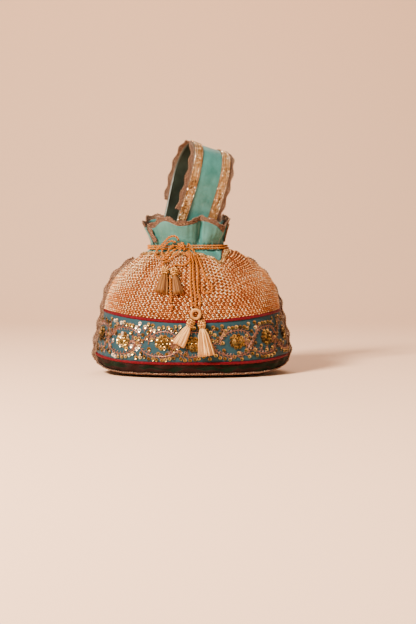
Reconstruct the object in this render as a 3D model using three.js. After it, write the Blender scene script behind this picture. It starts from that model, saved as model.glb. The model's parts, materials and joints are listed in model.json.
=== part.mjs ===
// Potli bag: a gathered drawstring pouch with a satin ruffle, crochet lace and a strap handle.
//
// Millimetres, +Z up. The origin is on the resting plane under the middle of the bag. +X runs
// across the bag and its tassels hang on the -Y side, which is called the front.
//
// The pouch is two U-shaped panels sewn edge to edge. Each panel is a woven zari cloth above, an
// embroidered band in the middle and a brocade strip below, with a red piping at each joint. The
// lace in the U seam, the lining, the ruffle above the neck, the handle and the drawstrings are
// pieces of their own.
//
// A place on the cloth is given by an angle (-90 degrees is the front, 0 is +X) and a level,
// which is the height in mm at which that line of cloth crosses the middle of the front.

import * as THREE from 'three';

// ---------------------------------------------------------------------------- driving sizes

const LEVEL = {
  seam: 3.5,
  lowerPiping: 17,
  upperPiping: 65,
  weaveTop: 144,
  neck: 150,
  rim: 176.5,
};

const CLOTH = 1.4;
const SATIN = 1.0;
const LINING = { outset: -3, thickness: 0.9 };
const PIPING_RADIUS = 1.6;
const PIPING_CLEARANCE = 2.0;
const SEAM_CLEARANCE = 0.75;
const LACE = { thickness: 0.7, reach: 6.2, scallop: 1.6, period: 20 };
const TRIM = { low: 140, high: 145.4, standOff: 0.35, thickness: 0.8 };

// One row for each level where the pouch changes: the height at its two sides, half its width,
// half its depth, how closely the rise hugs the sides, the drift of its middle in X, the depth of
// a pleat and the half angle that a pleat spans.
const PROFILE_LEVELS = [0, 1.5, 3.5, 9, 17, 30, 45, 65, 80, 95, 108, 120, 131, 140, 146, 150, 156,
  166, 177, 184];
const PROFILE = {
  sideHeight: [8, 9.5, 11.5, 16, 23, 37.5, 53.5, 75, 88, 101, 112, 122, 132, 140.5, 146, 150, 156,
    166, 177, 184],
  halfWidth: [97, 104.5, 110, 113.5, 114.5, 113, 109.5, 104.5, 102.8, 99.6, 94.6, 85.6, 72.8, 60.5,
    49, 44, 44.5, 48.5, 54, 56],
  halfDepth: [62, 70, 75.5, 78.5, 80, 81, 81, 79.5, 77.5, 74, 68.5, 61, 53.5, 46.5, 40.5, 38, 39.5,
    43, 47, 49],
  hug: [8, 8, 8, 6, 4, 3, 2.3, 1.8, 1.8, 1.8, 1.8, 2, 2, 2, 2, 2, 2, 2, 2, 2],
  drift: [0, 0, 0, 0, 0, 0, 0, 0, 0.3, 0.6, 0.6, 0.6, 0.8, -0.8, -3.4, -5, -6, -6.4, -6.8, -7],
  pleatDepth: [0, 0, 0, 0, 0, 0, 0, 0, 0.4, 1.4, 2.8, 4.2, 5, 4.8, 4, 3.4, 4, 5.5, 7, 7.5],
  pleatSpan: [20, 20, 20, 20, 20, 20, 20, 20, 19, 17, 15, 13, 11.5, 10, 8.5, 8, 9, 12, 15, 16],
};
const SECTION_POWER = 2.15;

// Angles from the front of the pleats' valleys, positive towards +X, below and above the neck.
const SHOULDER_VALLEYS = [-100, -36, 33, 76, 118, 160, 208];
const RUFFLE_VALLEYS = [-100, -48, 19, 72, 112, 158, 206];

// The rim of the ruffle rises and dips: angle from the front and rise above the rim's level.
const RIM_WAVE = {
  angle: [-180, -140, -105, -80, -55, -26, -6, 24, 40, 57, 75, 100, 140, 180],
  rise: [4, 7, 2, -3, -4, 4, -2, 4, -1, -9, -3, 4, 7, 4],
};

// The side seams stand a little off the X axis. The upper part of the +X seam is turned back.
const SEAM = { left: -174, rightLow: 3, rightHigh: 17, turnFrom: 60, turnTo: 105 };

const HANDLE = {
  foot: [-6, 0, 172],
  turn: 22,
  lean: 15.5,
  strapHalfWidth: 23.5,
  goldWidth: 11,
  laceReach: 5,
  laceScallop: 2.2,
};
// The strap's middle line, front leg first: offset to the back and height above the foot.
const HANDLE_LINE = [
  [-26, -15], [-24, -3], [-23.5, 10], [-26, 28], [-29, 48], [-29, 66], [-25, 82], [-16, 94.5],
  [0, 100], [16, 94.5], [25, 82], [28.5, 66], [28, 48], [25, 28], [22.5, 10], [23, -3], [25, -15],
];

const CORD_RADIUS = 1.25;
const CORD_SIDES = 8;
const CORD_STEP = 6.5;

const COLOURS = {
  weave: [0xb9764a, 0.45, 0.55],
  band: [0x1d3f4b, 0.8, 0],
  brocade: [0x161c12, 0.7, 0.1],
  piping: [0x8f0f1c, 0.4, 0],
  satin: [0x5f9c8e, 0.35, 0],
  lining: [0x1c261d, 0.5, 0],
  lace: [0x8d5a43, 0.75, 0.2],
  zari: [0xb98a48, 0.4, 0.7],
  cord: [0xc07a32, 0.55, 0.1],
  silk: [0xc9a06a, 0.5, 0],
};

// ---------------------------------------------------------------------------- small helpers

const radians = THREE.MathUtils.degToRad;
const smoothstep = THREE.MathUtils.smoothstep;
const lerp = THREE.MathUtils.lerp;

// A smooth curve through a table of values that never overshoots them.
function smoothTable(at, values) {
  const steps = at.slice(1).map((x, i) => (values[i + 1] - values[i]) / (x - at[i]));
  const slopes = values.map((_, i) => {
    if (i === 0) return steps[0];
    if (i === steps.length) return steps[i - 1];
    const before = steps[i - 1];
    const after = steps[i];
    return before * after > 0 ? (2 * before * after) / (before + after) : 0;
  });
  return (x) => {
    let i = 0;
    while (i < steps.length - 1 && x > at[i + 1]) i += 1;
    const width = at[i + 1] - at[i];
    const t = Math.min(Math.max((x - at[i]) / width, 0), 1);
    const a = 2 * t ** 3 - 3 * t ** 2 + 1;
    const b = t ** 3 - 2 * t ** 2 + t;
    const c = t ** 3 - t ** 2;
    return a * values[i] + b * width * slopes[i] + (1 - a) * values[i + 1]
      + c * width * slopes[i + 1];
  };
}

const profile = Object.fromEntries(
  Object.entries(PROFILE).map(([name, values]) => [name, smoothTable(PROFILE_LEVELS, values)]),
);
const rimRise = smoothTable(RIM_WAVE.angle, RIM_WAVE.rise);

const wrapDegrees = (angle) => THREE.MathUtils.euclideanModulo(angle + 180, 360) - 180;

const series = (count, from, to) => Array.from(
  { length: count + 1 },
  (_, i) => lerp(from, to, i / count),
);

// ---------------------------------------------------------------------------- the cloth surface

// How far the pleats pull the cloth in at an angle from the front.
function pleat(fromFront, level) {
  const span = profile.pleatSpan(level);
  const valleys = (list) => list.reduce(
    (sum, valley) => sum + Math.exp(-((wrapDegrees(fromFront - valley) / span) ** 2)),
    0,
  );
  const above = smoothstep(level, 146, 154);
  return profile.pleatDepth(level)
    * lerp(valleys(SHOULDER_VALLEYS), valleys(RUFFLE_VALLEYS), above);
}

function clothPoint(angle, level) {
  const cos = Math.cos(radians(angle));
  const sin = Math.sin(radians(angle));
  const pull = pleat(angle + 90, level);
  const power = 2 / SECTION_POWER;
  const fromSide = Math.abs(cos) ** profile.hug(level);
  return new THREE.Vector3(
    profile.drift(level)
      + (profile.halfWidth(level) - pull) * Math.sign(cos) * Math.abs(cos) ** power,
    (profile.halfDepth(level) - pull) * Math.sign(sin) * Math.abs(sin) ** power,
    level + (profile.sideHeight(level) - level) * fromSide,
  );
}

function clothNormal(angle, level) {
  const across = clothPoint(angle + 1.5, level).sub(clothPoint(angle - 1.5, level));
  const up = clothPoint(angle, level + 0.7).sub(clothPoint(angle, Math.max(level - 0.7, 0)));
  return across.cross(up).normalize();
}

const liftedPoint = (angle, level, standOff) => (
  clothPoint(angle, level).addScaledVector(clothNormal(angle, level), standOff)
);

// The point at a given x and height that stands a given distance off the front's cloth.
function onFront([x, z, standOff]) {
  let angle = -90 + (x - profile.drift(z)) * 0.9;
  let level = z;
  for (let step = 0; step < 30; step += 1) {
    const here = liftedPoint(angle, level, standOff);
    const turned = liftedPoint(angle + 0.5, level, standOff).sub(here).multiplyScalar(2);
    const raised = liftedPoint(angle, level + 0.5, standOff).sub(here).multiplyScalar(2);
    const missX = x - here.x;
    const missZ = z - here.z;
    const scale = turned.x * raised.z - raised.x * turned.z;
    angle += THREE.MathUtils.clamp((missX * raised.z - raised.x * missZ) / scale, -4, 4);
    level += THREE.MathUtils.clamp((turned.x * missZ - missX * turned.z) / scale, -2, 2);
  }
  return liftedPoint(angle, level, standOff);
}

const seamRight = (level) => lerp(
  SEAM.rightLow,
  SEAM.rightHigh,
  smoothstep(level, SEAM.turnFrom, SEAM.turnTo),
);

// The angle a share u of the way across one panel, from the left seam to the right.
function panelAngle(side, u, level, clearance = SEAM_CLEARANCE) {
  const trim = THREE.MathUtils.radToDeg(clearance / profile.halfDepth(level));
  if (side === 'front') return lerp(SEAM.left + trim, seamRight(level) - trim, u);
  return lerp(SEAM.left + 360 - trim, seamRight(level) + trim, u);
}

// ---------------------------------------------------------------------------- closed solids

// A closed solid from rows of outer points and the same rows of inner points. wrap joins each
// row's end to its start.
function gridSolid(outer, inner, wrap = false) {
  const places = new Map();
  const positions = [];
  const triangles = [];
  const vertex = (point) => {
    const key = point.toArray().map((value) => Math.round(value * 1e4)).join();
    if (!places.has(key)) {
      places.set(key, positions.length / 3);
      positions.push(point.x, point.y, point.z);
    }
    return places.get(key);
  };
  const triangle = (a, b, c) => {
    if (a !== b && b !== c && c !== a) triangles.push(a, b, c);
  };
  const quad = (...corners) => {
    const [a, b, c, d] = corners.map(vertex);
    triangle(a, b, c);
    triangle(a, c, d);
  };
  const rows = outer.length;
  const columns = outer[0].length;
  const lastRow = rows - 1;
  const lastColumn = wrap ? columns : columns - 1;
  for (let c = 0; c < lastColumn; c += 1) {
    const c1 = (c + 1) % columns;
    for (let r = 0; r < lastRow; r += 1) {
      quad(outer[r][c], outer[r][c1], outer[r + 1][c1], outer[r + 1][c]);
      quad(inner[r][c], inner[r + 1][c], inner[r + 1][c1], inner[r][c1]);
    }
    quad(outer[0][c], inner[0][c], inner[0][c1], outer[0][c1]);
    quad(outer[lastRow][c], outer[lastRow][c1], inner[lastRow][c1], inner[lastRow][c]);
  }
  if (!wrap) {
    const end = columns - 1;
    for (let r = 0; r < lastRow; r += 1) {
      quad(outer[r][0], outer[r + 1][0], inner[r + 1][0], inner[r][0]);
      quad(outer[r][end], inner[r][end], inner[r + 1][end], outer[r + 1][end]);
    }
  }
  return facingOut(positions, triangles);
}

function facingOut(positions, triangles) {
  const corner = (i) => new THREE.Vector3().fromArray(positions, 3 * i);
  let volume = 0;
  for (let i = 0; i < triangles.length; i += 3) {
    volume += corner(triangles[i]).dot(
      corner(triangles[i + 1]).cross(corner(triangles[i + 2])),
    );
  }
  const geometry = new THREE.BufferGeometry();
  geometry.setAttribute('position', new THREE.Float32BufferAttribute(positions, 3));
  geometry.setIndex(volume > 0 ? triangles : [...triangles].reverse());
  geometry.computeVertexNormals();
  return geometry;
}

// A sheet of cloth between two offsets from the cloth surface, over a grid of angles and levels.
function clothSheet(rowLevels, columnShares, angleAt, outset, inset) {
  const layer = (offset) => rowLevels.map((level) => columnShares.map((share) => (
    liftedPoint(angleAt(share, level), level, offset)
  )));
  return gridSolid(layer(outset), layer(inset));
}

// A flat strip along a line of stations, each with a middle, an across and a face direction.
function stripSolid(stations, across, face) {
  const layer = (height) => stations.map((station) => across(station).map((offset) => (
    station.middle.clone()
      .addScaledVector(station.across, offset)
      .addScaledVector(station.face, height)
  )));
  return gridSolid(layer(face[1]), layer(face[0]));
}

function polygon(radius, sides) {
  const shape = new THREE.Shape();
  for (let i = 0; i < sides; i += 1) {
    const turn = (2 * Math.PI * i) / sides;
    const method = i === 0 ? 'moveTo' : 'lineTo';
    shape[method](radius * Math.cos(turn), radius * Math.sin(turn));
  }
  shape.closePath();
  return shape;
}

function tube(points, radius, sides, step) {
  const path = new THREE.CatmullRomCurve3(points, false, 'centripetal');
  const steps = Math.min(Math.max(Math.ceil(path.getLength() / step), 4), 80);
  return new THREE.ExtrudeGeometry(polygon(radius, sides), {
    steps,
    bevelEnabled: false,
    extrudePath: path,
  });
}

// A closed ring of round cord through the given points.
function ringTube(points, radius, sides) {
  const path = new THREE.CatmullRomCurve3(points, true, 'centripetal');
  const count = points.length;
  const { normals, binormals } = path.computeFrenetFrames(count, true);
  const ring = series(count - 1, 0, (count - 1) / count).flatMap((share, i) => (
    series(sides - 1, 0, 2 * Math.PI * (1 - 1 / sides)).map((turn) => path.getPointAt(share)
      .addScaledVector(normals[i], radius * Math.cos(turn))
      .addScaledVector(binormals[i], radius * Math.sin(turn)))
  ));
  const positions = ring.flatMap((point) => point.toArray());
  const triangles = [];
  const index = (r, c) => (r % count) * sides + (c % sides);
  for (let r = 0; r < count; r += 1) {
    for (let c = 0; c < sides; c += 1) {
      triangles.push(index(r, c), index(r, c + 1), index(r + 1, c + 1));
      triangles.push(index(r, c), index(r + 1, c + 1), index(r + 1, c));
    }
  }
  return facingOut(positions, triangles);
}

const bag = new THREE.Group();

function add(name, geometry, colour) {
  const [color, roughness, metalness] = COLOURS[colour];
  const mesh = new THREE.Mesh(
    geometry,
    new THREE.MeshStandardMaterial({ color, roughness, metalness }),
  );
  mesh.name = name;
  bag.add(mesh);
}

// ---------------------------------------------------------------------------- the two panels

const PANEL_COLUMNS = series(26, 0, 1);

function addPanels(side) {
  const angleAt = (share, level) => panelAngle(side, share, level);
  const sheet = (levels) => clothSheet(levels, PANEL_COLUMNS, angleAt, 0, -CLOTH);
  const weaveLow = LEVEL.upperPiping + PIPING_CLEARANCE;
  const bandLow = LEVEL.lowerPiping + PIPING_CLEARANCE;
  const bandHigh = LEVEL.upperPiping - PIPING_CLEARANCE;
  add(`weave_panel_${side}`, sheet(series(6, weaveLow, LEVEL.weaveTop)), 'weave');
  add(`embroidered_band_${side}`, sheet(series(3, bandLow, bandHigh)), 'band');
  addPiping(`upper_piping_${side}`, LEVEL.upperPiping, side);
  addPiping(`lower_piping_${side}`, LEVEL.lowerPiping, side);
}

function addPiping(name, level, side) {
  const line = series(26, 0, 1).map((share) => (
    clothPoint(panelAngle(side, share, level, 1.2), level)
  ));
  add(name, tube(line, PIPING_RADIUS, 6, 9.5), 'piping');
}

function addFrontBase() {
  const levels = series(2, LEVEL.seam + 1.1, LEVEL.lowerPiping - PIPING_CLEARANCE);
  const angleAt = (share, level) => panelAngle('front', share, level);
  add('base_panel_front', clothSheet(levels, PANEL_COLUMNS, angleAt, 0, -CLOTH), 'brocade');
}

// The back's brocade turns under the bag and meets the front panel at the bottom seam. Each of
// its columns runs down the back wall, across the floor and up to the seam.
function addBackBase() {
  const wallLevels = [LEVEL.lowerPiping - PIPING_CLEARANCE, 9, 4.5, 1.5, 0];
  const frontLevels = [0, 1.2, LEVEL.seam - SEAM_CLEARANCE];
  const floorShares = [0.2, 0.4, 0.6, 0.8];
  const column = (share) => {
    const back = wallLevels.map((level) => clothPoint(panelAngle('back', share, level), level));
    const front = frontLevels.map((level) => (
      clothPoint(panelAngle('front', share, level), level)
    ));
    const floor = floorShares.map((t) => back.at(-1).clone().lerp(front[0], t));
    return [...back, ...floor, ...front];
  };
  const columns = PANEL_COLUMNS.map(column);
  const rows = columns[0].map((_, row) => columns.map((points) => points[row]));
  add('base_panel_back', gridSolid(rows, offsetRows(rows, CLOTH)), 'brocade');
}

// The same rows moved inwards, each point against the way that the cloth around it faces.
function offsetRows(rows, distance) {
  const near = (list, i) => [list[Math.max(i - 1, 0)], list[Math.min(i + 1, list.length - 1)]];
  return rows.map((row, r) => row.map((point, c) => {
    const [left, right] = near(row, c);
    const [before, after] = near(rows, r);
    const facing = right.clone().sub(left).cross(after[c].clone().sub(before[c])).normalize();
    return point.clone().addScaledVector(facing, -distance);
  }));
}

// ---------------------------------------------------------------------------- lace and trims

// The lace in the U seam stands out from the cloth, and lies low and forward along the bottom.
function addSeamLace() {
  const sideLevels = series(24, TRIM.low - 2, 8).concat([6, 4.6]);
  const left = sideLevels.map((level) => [SEAM.left, level]);
  const right = sideLevels.map((level) => [seamRight(level), level]).reverse();
  const bottomEnd = seamRight(LEVEL.seam);
  const bottom = series(48, SEAM.left, bottomEnd).map((angle) => [angle, LEVEL.seam]);
  const places = [...left, ...bottom, ...right];
  const middles = places.map(([angle, level]) => clothPoint(angle, level));
  let run = 0;
  const stations = places.map(([angle, level], i) => {
    run += i ? middles[i].distanceTo(middles[i - 1]) : 0;
    const normal = clothNormal(angle, level);
    const flat = new THREE.Vector3(normal.x, normal.y, 0).normalize();
    const low = smoothstep(30 - level, 0, 20);
    const out = normal.lerp(flat.setZ(0.36).normalize(), low).normalize();
    const before = middles[Math.max(i - 1, 0)];
    const after = middles[Math.min(i + 1, middles.length - 1)];
    const along = after.clone().sub(before).normalize();
    const face = along.clone().cross(out).normalize();
    return { middle: middles[i].addScaledVector(out, 0.25), across: out, face, run };
  });
  const reach = ({ run: at }) => [
    0,
    LACE.reach - LACE.scallop * Math.cos((2 * Math.PI * at) / LACE.period),
  ];
  const half = LACE.thickness / 2;
  add('seam_lace', stripSolid(stations, reach, [-half, half]), 'lace');
}

function addNeckTrim(side) {
  const angleAt = (share, level) => panelAngle(side, share, level, 1);
  const outset = TRIM.standOff + TRIM.thickness;
  add(
    `neck_trim_${side}`,
    clothSheet([TRIM.low, TRIM.high], PANEL_COLUMNS, angleAt, outset, TRIM.standOff),
    'zari',
  );
}

// ---------------------------------------------------------------------------- ruffle and lining

// The ruffle is two flaps that part at the sides, where the drawstrings come out of the neck.
const FLAPS = {
  front: { from: -151, to: 0 },
  back: { from: 203, to: 6 },
};
const RUFFLE_LOW = LEVEL.weaveTop + 0.5;

const flapAngle = (side, share) => lerp(FLAPS[side].from, FLAPS[side].to, share);

// How much of the rim's rise and dip reaches a level.
const ruffleShift = (angle, level) => (
  rimRise(wrapDegrees(angle + 90)) * smoothstep(level, LEVEL.neck + 3, LEVEL.rim)
);

function addRuffle(side) {
  const levels = [RUFFLE_LOW, 146.4, 148.2, LEVEL.neck, 152, 157, 166, LEVEL.rim];
  const shares = series(28, 0, 1);
  const layer = (offset) => levels.map((level) => shares.map((share) => {
    const angle = flapAngle(side, share);
    const point = liftedPoint(angle, level, offset);
    return point.setZ(point.z + ruffleShift(angle, level));
  }));
  add(`satin_ruffle_${side}`, gridSolid(layer(-0.05), layer(-SATIN)), 'satin');
  addRimLace(side);
  addFlapLace(side);
}

// Crochet lace on the rim: it goes on upwards and curls outwards.
function addRimLace(side) {
  const shares = series(36, 0, 1);
  const gap = 0.35;
  const heights = [gap, 2.8, LACE.reach - 0.6];
  const curl = [0, 0.5, 2.2];
  const layer = (offset) => heights.map((height, row) => shares.map((share) => {
    const angle = flapAngle(side, share);
    const point = liftedPoint(angle, LEVEL.rim, offset + curl[row]);
    const wave = row === 2 ? 1.3 * Math.cos(18 * radians(angle)) : 0;
    return point.setZ(point.z + ruffleShift(angle, LEVEL.rim) + height + wave);
  }));
  add(`rim_lace_${side}`, gridSolid(layer(0), layer(-LACE.thickness)), 'lace');
}

// Gold and crochet lace down both open edges of a flap.
function addFlapLace(side) {
  const levels = [LEVEL.neck + 6, 161, 166, 171, LEVEL.rim];
  const { from, to } = FLAPS[side];
  const outward = Math.sign(from - to);
  const edges = { left: [from, outward], right: [to, -outward] };
  for (const [end, [edge, direction]] of Object.entries(edges)) {
    const angles = [0.6, 4, side === 'front' ? 9 : 7].map((step) => edge + direction * step);
    const rows = (offset) => levels.map((level) => angles.map((angle) => {
      const point = liftedPoint(angle, level, offset);
      return point.setZ(point.z + ruffleShift(edge, level));
    }));
    const lift = side === 'front' ? 1.4 : -2.2;
    const skin = gridSolid(rows(lift + LACE.thickness), rows(lift));
    add(`flap_lace_${side}_${end}`, skin, 'lace');
  }
}

// The lining is a sack of its own inside the panels, open at the neck.
function addLining() {
  const columns = series(33, 0, 360 * (33 / 34));
  const walls = [2, 7, 14, 40, 68, 90, 108, 122, 130, 136, 141, 144.5, 148];
  const floorShares = [0, 0.45, 0.86];
  const layer = (offset) => {
    const floor = floorShares.map((share) => columns.map((angle) => {
      const edge = clothPoint(angle, 0);
      return new THREE.Vector3(edge.x * share, edge.y * share, edge.z * share ** 3 - offset);
    }));
    const wall = walls.map((level) => columns.map((angle) => {
      const point = liftedPoint(angle, level, offset);
      return point.setZ(Math.max(point.z, -offset));
    }));
    return [...floor, ...wall];
  };
  const outer = layer(LINING.outset);
  const inner = layer(LINING.outset - LINING.thickness);
  add('lining', gridSolid(outer, inner, true), 'lining');
}

// ---------------------------------------------------------------------------- handle

const handlePlace = new THREE.Matrix4()
  .makeTranslation(...HANDLE.foot)
  .multiply(new THREE.Matrix4().makeRotationZ(radians(HANDLE.turn)))
  .multiply(new THREE.Matrix4().makeRotationY(radians(HANDLE.lean)));

function handleStations(count) {
  const line = new THREE.CatmullRomCurve3(
    HANDLE_LINE.map(([back, up]) => new THREE.Vector3(0, back, up)),
    false,
    'centripetal',
  );
  const length = line.getLength();
  return series(count, 0, 1).map((share) => {
    const along = line.getTangentAt(share);
    return {
      middle: line.getPointAt(share).applyMatrix4(handlePlace),
      across: new THREE.Vector3(1, 0, 0).transformDirection(handlePlace),
      face: new THREE.Vector3(0, -along.z, along.y).transformDirection(handlePlace),
      run: share * length,
    };
  });
}

function addHandle() {
  const half = HANDLE.strapHalfWidth;
  const gold = half - HANDLE.goldWidth;
  const stations = handleStations(34);
  add('handle_strap', stripSolid(stations, () => [-half, half], [0.2, 1.2]), 'satin');
  add('handle_lining', stripSolid(stations, () => [-half, half], [-0.9, -0.1]), 'lining');
  const goldFace = [1.5, 2.4];
  add('handle_zari_left', stripSolid(stations, () => [-half, -gold], goldFace), 'zari');
  add('handle_zari_right', stripSolid(stations, () => [gold, half], goldFace), 'zari');
  const fine = handleStations(70).slice(8, -11);
  const edge = half + 0.35;
  const reach = ({ run }) => (
    edge + HANDLE.laceReach - HANDLE.laceScallop * Math.cos((2 * Math.PI * run) / LACE.period)
  );
  const laceFace = [0.3, 1.1];
  add('handle_lace_left', stripSolid(fine, (at) => [-reach(at), -edge], laceFace), 'lace');
  add('handle_lace_right', stripSolid(fine, (at) => [edge, reach(at)], laceFace), 'lace');
}

// ---------------------------------------------------------------------------- drawstrings

// Each route is a list of points on the front: x, height and how far the cord's middle stands
// off the cloth.
const ROUTES = {
  bow_loop_outer: [
    [-15.4, 158, 5.6], [-16.4, 161, 6], [-20.5, 163.4, 6.4], [-25.9, 162, 6.6], [-31.2, 157, 7],
    [-37, 150.9, 6.8], [-41.4, 145.6, 5.6], [-42.2, 141.4, 4.2], [-39.4, 138.3, 3],
    [-34.6, 136.6, 2.6], [-30.2, 137.2, 3], [-26.6, 140.6, 4.2], [-23, 144.9, 5.6],
    [-18.6, 147.9, 6.8],
  ],
  bow_loop_inner: [
    [-18.3, 155.9, 5.2], [-23.4, 157.6, 5], [-27.8, 156, 5.6], [-32.2, 151.3, 6.8],
    [-34.6, 145.8, 5.4], [-33.8, 141.8, 4], [-30.2, 140.6, 3.8], [-27.6, 143.8, 4.8],
    [-25.8, 148, 5.6], [-20.8, 153.2, 6],
  ],
  bow_loop_low: [
    [-11.8, 144.4, 6.4], [-8.2, 143.6, 6.4], [-4, 140.4, 5.6], [-1.8, 136.3, 4.6],
    [-4.4, 132.2, 3.2], [-8.9, 129.9, 2.4], [-14.2, 129.4, 2.4], [-18.6, 130.3, 3.4],
    [-20.2, 128.3, 4.6],
  ],
  tassel_cord_left: [
    [-14.8, 145.8, 6.4], [-17, 143.8, 5.6], [-20.4, 140.8, 4.2], [-23.6, 137.4, 3.2],
    [-27.2, 134.6, 2.8], [-31, 133.2, 2.8], [-34, 131.2, 3.6], [-31.6, 128.8, 5.4],
  ],
  tassel_cord_outer: [
    [-4.4, 154.6, 6], [-1, 150.6, 6.6], [1.6, 147.4, 6.2], [4.6, 143.2, 4.4], [8, 138.4, 2.6],
    [10.7, 131.4, 2.1], [13.4, 124.2, 2], [15.4, 118.4, 2], [17.4, 112.6, 2], [21.6, 108.8, 2.1],
    [24.2, 104, 2.2], [21.6, 99.2, 2], [15.8, 98.2, 2], [12.4, 102, 2], [13.4, 106.6, 2.1],
  ],
  tassel_cord_middle: [
    [-3.6, 147.4, 6.8], [-0.4, 143.6, 5], [3.2, 139.2, 3], [5.8, 133, 2], [7.4, 125, 2],
    [7.6, 117, 2], [7.4, 108, 2], [8.2, 99, 2], [10.2, 90.5, 2], [9.8, 83.5, 2.4],
  ],
  tassel_cord_inner: [
    [-5.4, 145.4, 8.6], [-1.8, 141.6, 8.1], [0.9, 136.4, 5], [1.9, 130, 2], [2.2, 122, 2],
    [2.6, 114, 2], [3.6, 106, 2], [4.4, 98, 2], [5, 90, 2], [5, 81.5, 2.4],
  ],
  tassel_cord_hidden: [
    [-2.6, 139, 2], [-1.4, 133, 2], [-0.8, 126, 2], [-1, 118, 2], [-1, 110, 2], [-0.4, 102, 2],
    [0.4, 94, 2], [0.8, 88, 2.2], [1.2, 82.5, 2.4],
  ],
  tassel_cord_short: [
    [-24.2, 117.4, 4.6], [-24, 111, 4.6], [-23.8, 105, 4.2], [-23.7, 99, 3.4], [-23.4, 93, 2.6],
    [-22.9, 86.9, 2.4],
  ],
};

const KNOT = { at: [-10.8, 151.2, 8.9], size: [5, 4, 5] };
const END_KNOT = { at: [-22.7, 83.2, 2.8], radius: 2.1 };
const CORD_RING = { at: [5, 74, 3.2], radius: 5, cord: 1.9 };

// Each tassel: where its head and the middle of its skirt's hem lie, and the hem's half width.
const TASSELS = {
  tassel_upper_left: { head: [-30.5, 123.5, 6.2], hem: [-34.5, 97.5, 5.2], hemWidth: 8.2 },
  tassel_upper_right: { head: [-19.6, 122, 6.2], hem: [-14.8, 97, 5.2], hemWidth: 6.4 },
  tassel_lower_left: { head: [-0.6, 64, 6.4], hem: [-15, 38.5, 5.4], hemWidth: 8.2 },
  tassel_lower_right: { head: [12, 63, 6.4], hem: [17.8, 26, 5.4], hemWidth: 10.4 },
};
const HEAD = { radius: 4.9, halfLength: 4.4 };
const SKIRT = { neck: 2.6, flat: 0.42, gap: 0.4 };

function addNeckCords() {
  const heights = { neck_cord_upper: 151.6, neck_cord_lower: 148.8 };
  const turns = series(39, -180, 171);
  for (const [name, level] of Object.entries(heights)) {
    const ring = turns.map((angle) => {
      const outward = clothNormal(angle, level).setZ(0).normalize();
      return clothPoint(angle, level).addScaledVector(outward, CORD_RADIUS + 1.9);
    });
    const eased = ring.map((point, i) => {
      const before = ring.at(i - 1);
      const after = ring[(i + 1) % ring.length];
      const mean = before.clone().add(after).multiplyScalar(0.5);
      const outward = new THREE.Vector3(point.x, point.y, 0).normalize();
      const extra = Math.max(mean.sub(point).dot(outward), 0);
      return point.clone().addScaledVector(outward, extra).setZ(level);
    });
    add(name, ringTube(eased, CORD_RADIUS, CORD_SIDES), 'cord');
  }
}

function addBow() {
  const knot = new THREE.SphereGeometry(1, 12, 8).scale(...KNOT.size);
  const place = onFront(KNOT.at);
  add('bow_knot', knot.translate(place.x, place.y, place.z), 'cord');
  for (const [name, route] of Object.entries(ROUTES)) {
    add(name, tube(route.map(onFront), CORD_RADIUS, CORD_SIDES, CORD_STEP), 'cord');
  }
  const endKnot = new THREE.SphereGeometry(END_KNOT.radius, 10, 7);
  const endPlace = onFront(END_KNOT.at);
  add('tassel_cord_short_knot', endKnot.translate(endPlace.x, endPlace.y, endPlace.z), 'cord');
  const ring = new THREE.TorusGeometry(CORD_RING.radius, CORD_RING.cord, 6, 16);
  const ringPlace = onFront(CORD_RING.at);
  ring.rotateX(Math.PI / 2).translate(ringPlace.x, ringPlace.y, ringPlace.z);
  add('cord_ring', ring, 'cord');
}

// A closed turned solid about Y, from a profile of radius and height pairs.
function turned(profilePoints, segments) {
  const points = profilePoints.map(([radius, height]) => new THREE.Vector2(radius, height));
  return new THREE.LatheGeometry(points, segments);
}

function addTassel(name, { head, hem, hemWidth }) {
  const top = onFront(head);
  const bottom = onFront(hem);
  const down = bottom.clone().sub(top);
  const length = down.length();
  down.normalize();
  const cloth = onFront(head).sub(onFront([head[0], head[1], 0])).normalize();
  const width = down.clone().cross(cloth).normalize();
  const depth = width.clone().cross(down).normalize();
  const place = new THREE.Matrix4().makeBasis(width, down, depth).setPosition(top);
  const { radius, halfLength } = HEAD;
  const barrel = [[0, -halfLength], [radius * 0.55, -halfLength], [radius, -halfLength * 0.35],
    [radius, halfLength * 0.35], [radius * 0.55, halfLength], [0, halfLength]];
  add(`${name}_head`, turned(barrel, 12).applyMatrix4(place), 'zari');
  const from = halfLength + SKIRT.gap;
  const skirt = [[0, from], [SKIRT.neck, from], [lerp(SKIRT.neck, hemWidth, 0.45), from + 7],
    [lerp(SKIRT.neck, hemWidth, 0.75), lerp(from, length, 0.6)], [hemWidth, length - 1.5],
    [hemWidth * 0.8, length], [0, length]];
  const flattened = turned(skirt, 14).scale(1, 1, SKIRT.flat);
  add(`${name}_skirt`, flattened.applyMatrix4(place), 'silk');
}

// ---------------------------------------------------------------------------- assembly

addPanels('front');
addPanels('back');
addFrontBase();
addBackBase();
addSeamLace();
addNeckTrim('front');
addNeckTrim('back');
addRuffle('front');
addRuffle('back');
addLining();
addHandle();
addNeckCords();
addBow();
for (const [name, tassel] of Object.entries(TASSELS)) addTassel(name, tassel);

export default bag;
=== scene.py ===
"""Potli bag: the looks of a gathered drawstring pouch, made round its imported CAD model.

Shapes are worked out in millimetres and become metres where a mesh is made. A place on the cloth
is an angle, with -90 degrees at the front and 0 at +X, and a level, which is the height in mm at
which that line of cloth crosses the middle of the front.
"""
import json
import math

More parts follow.
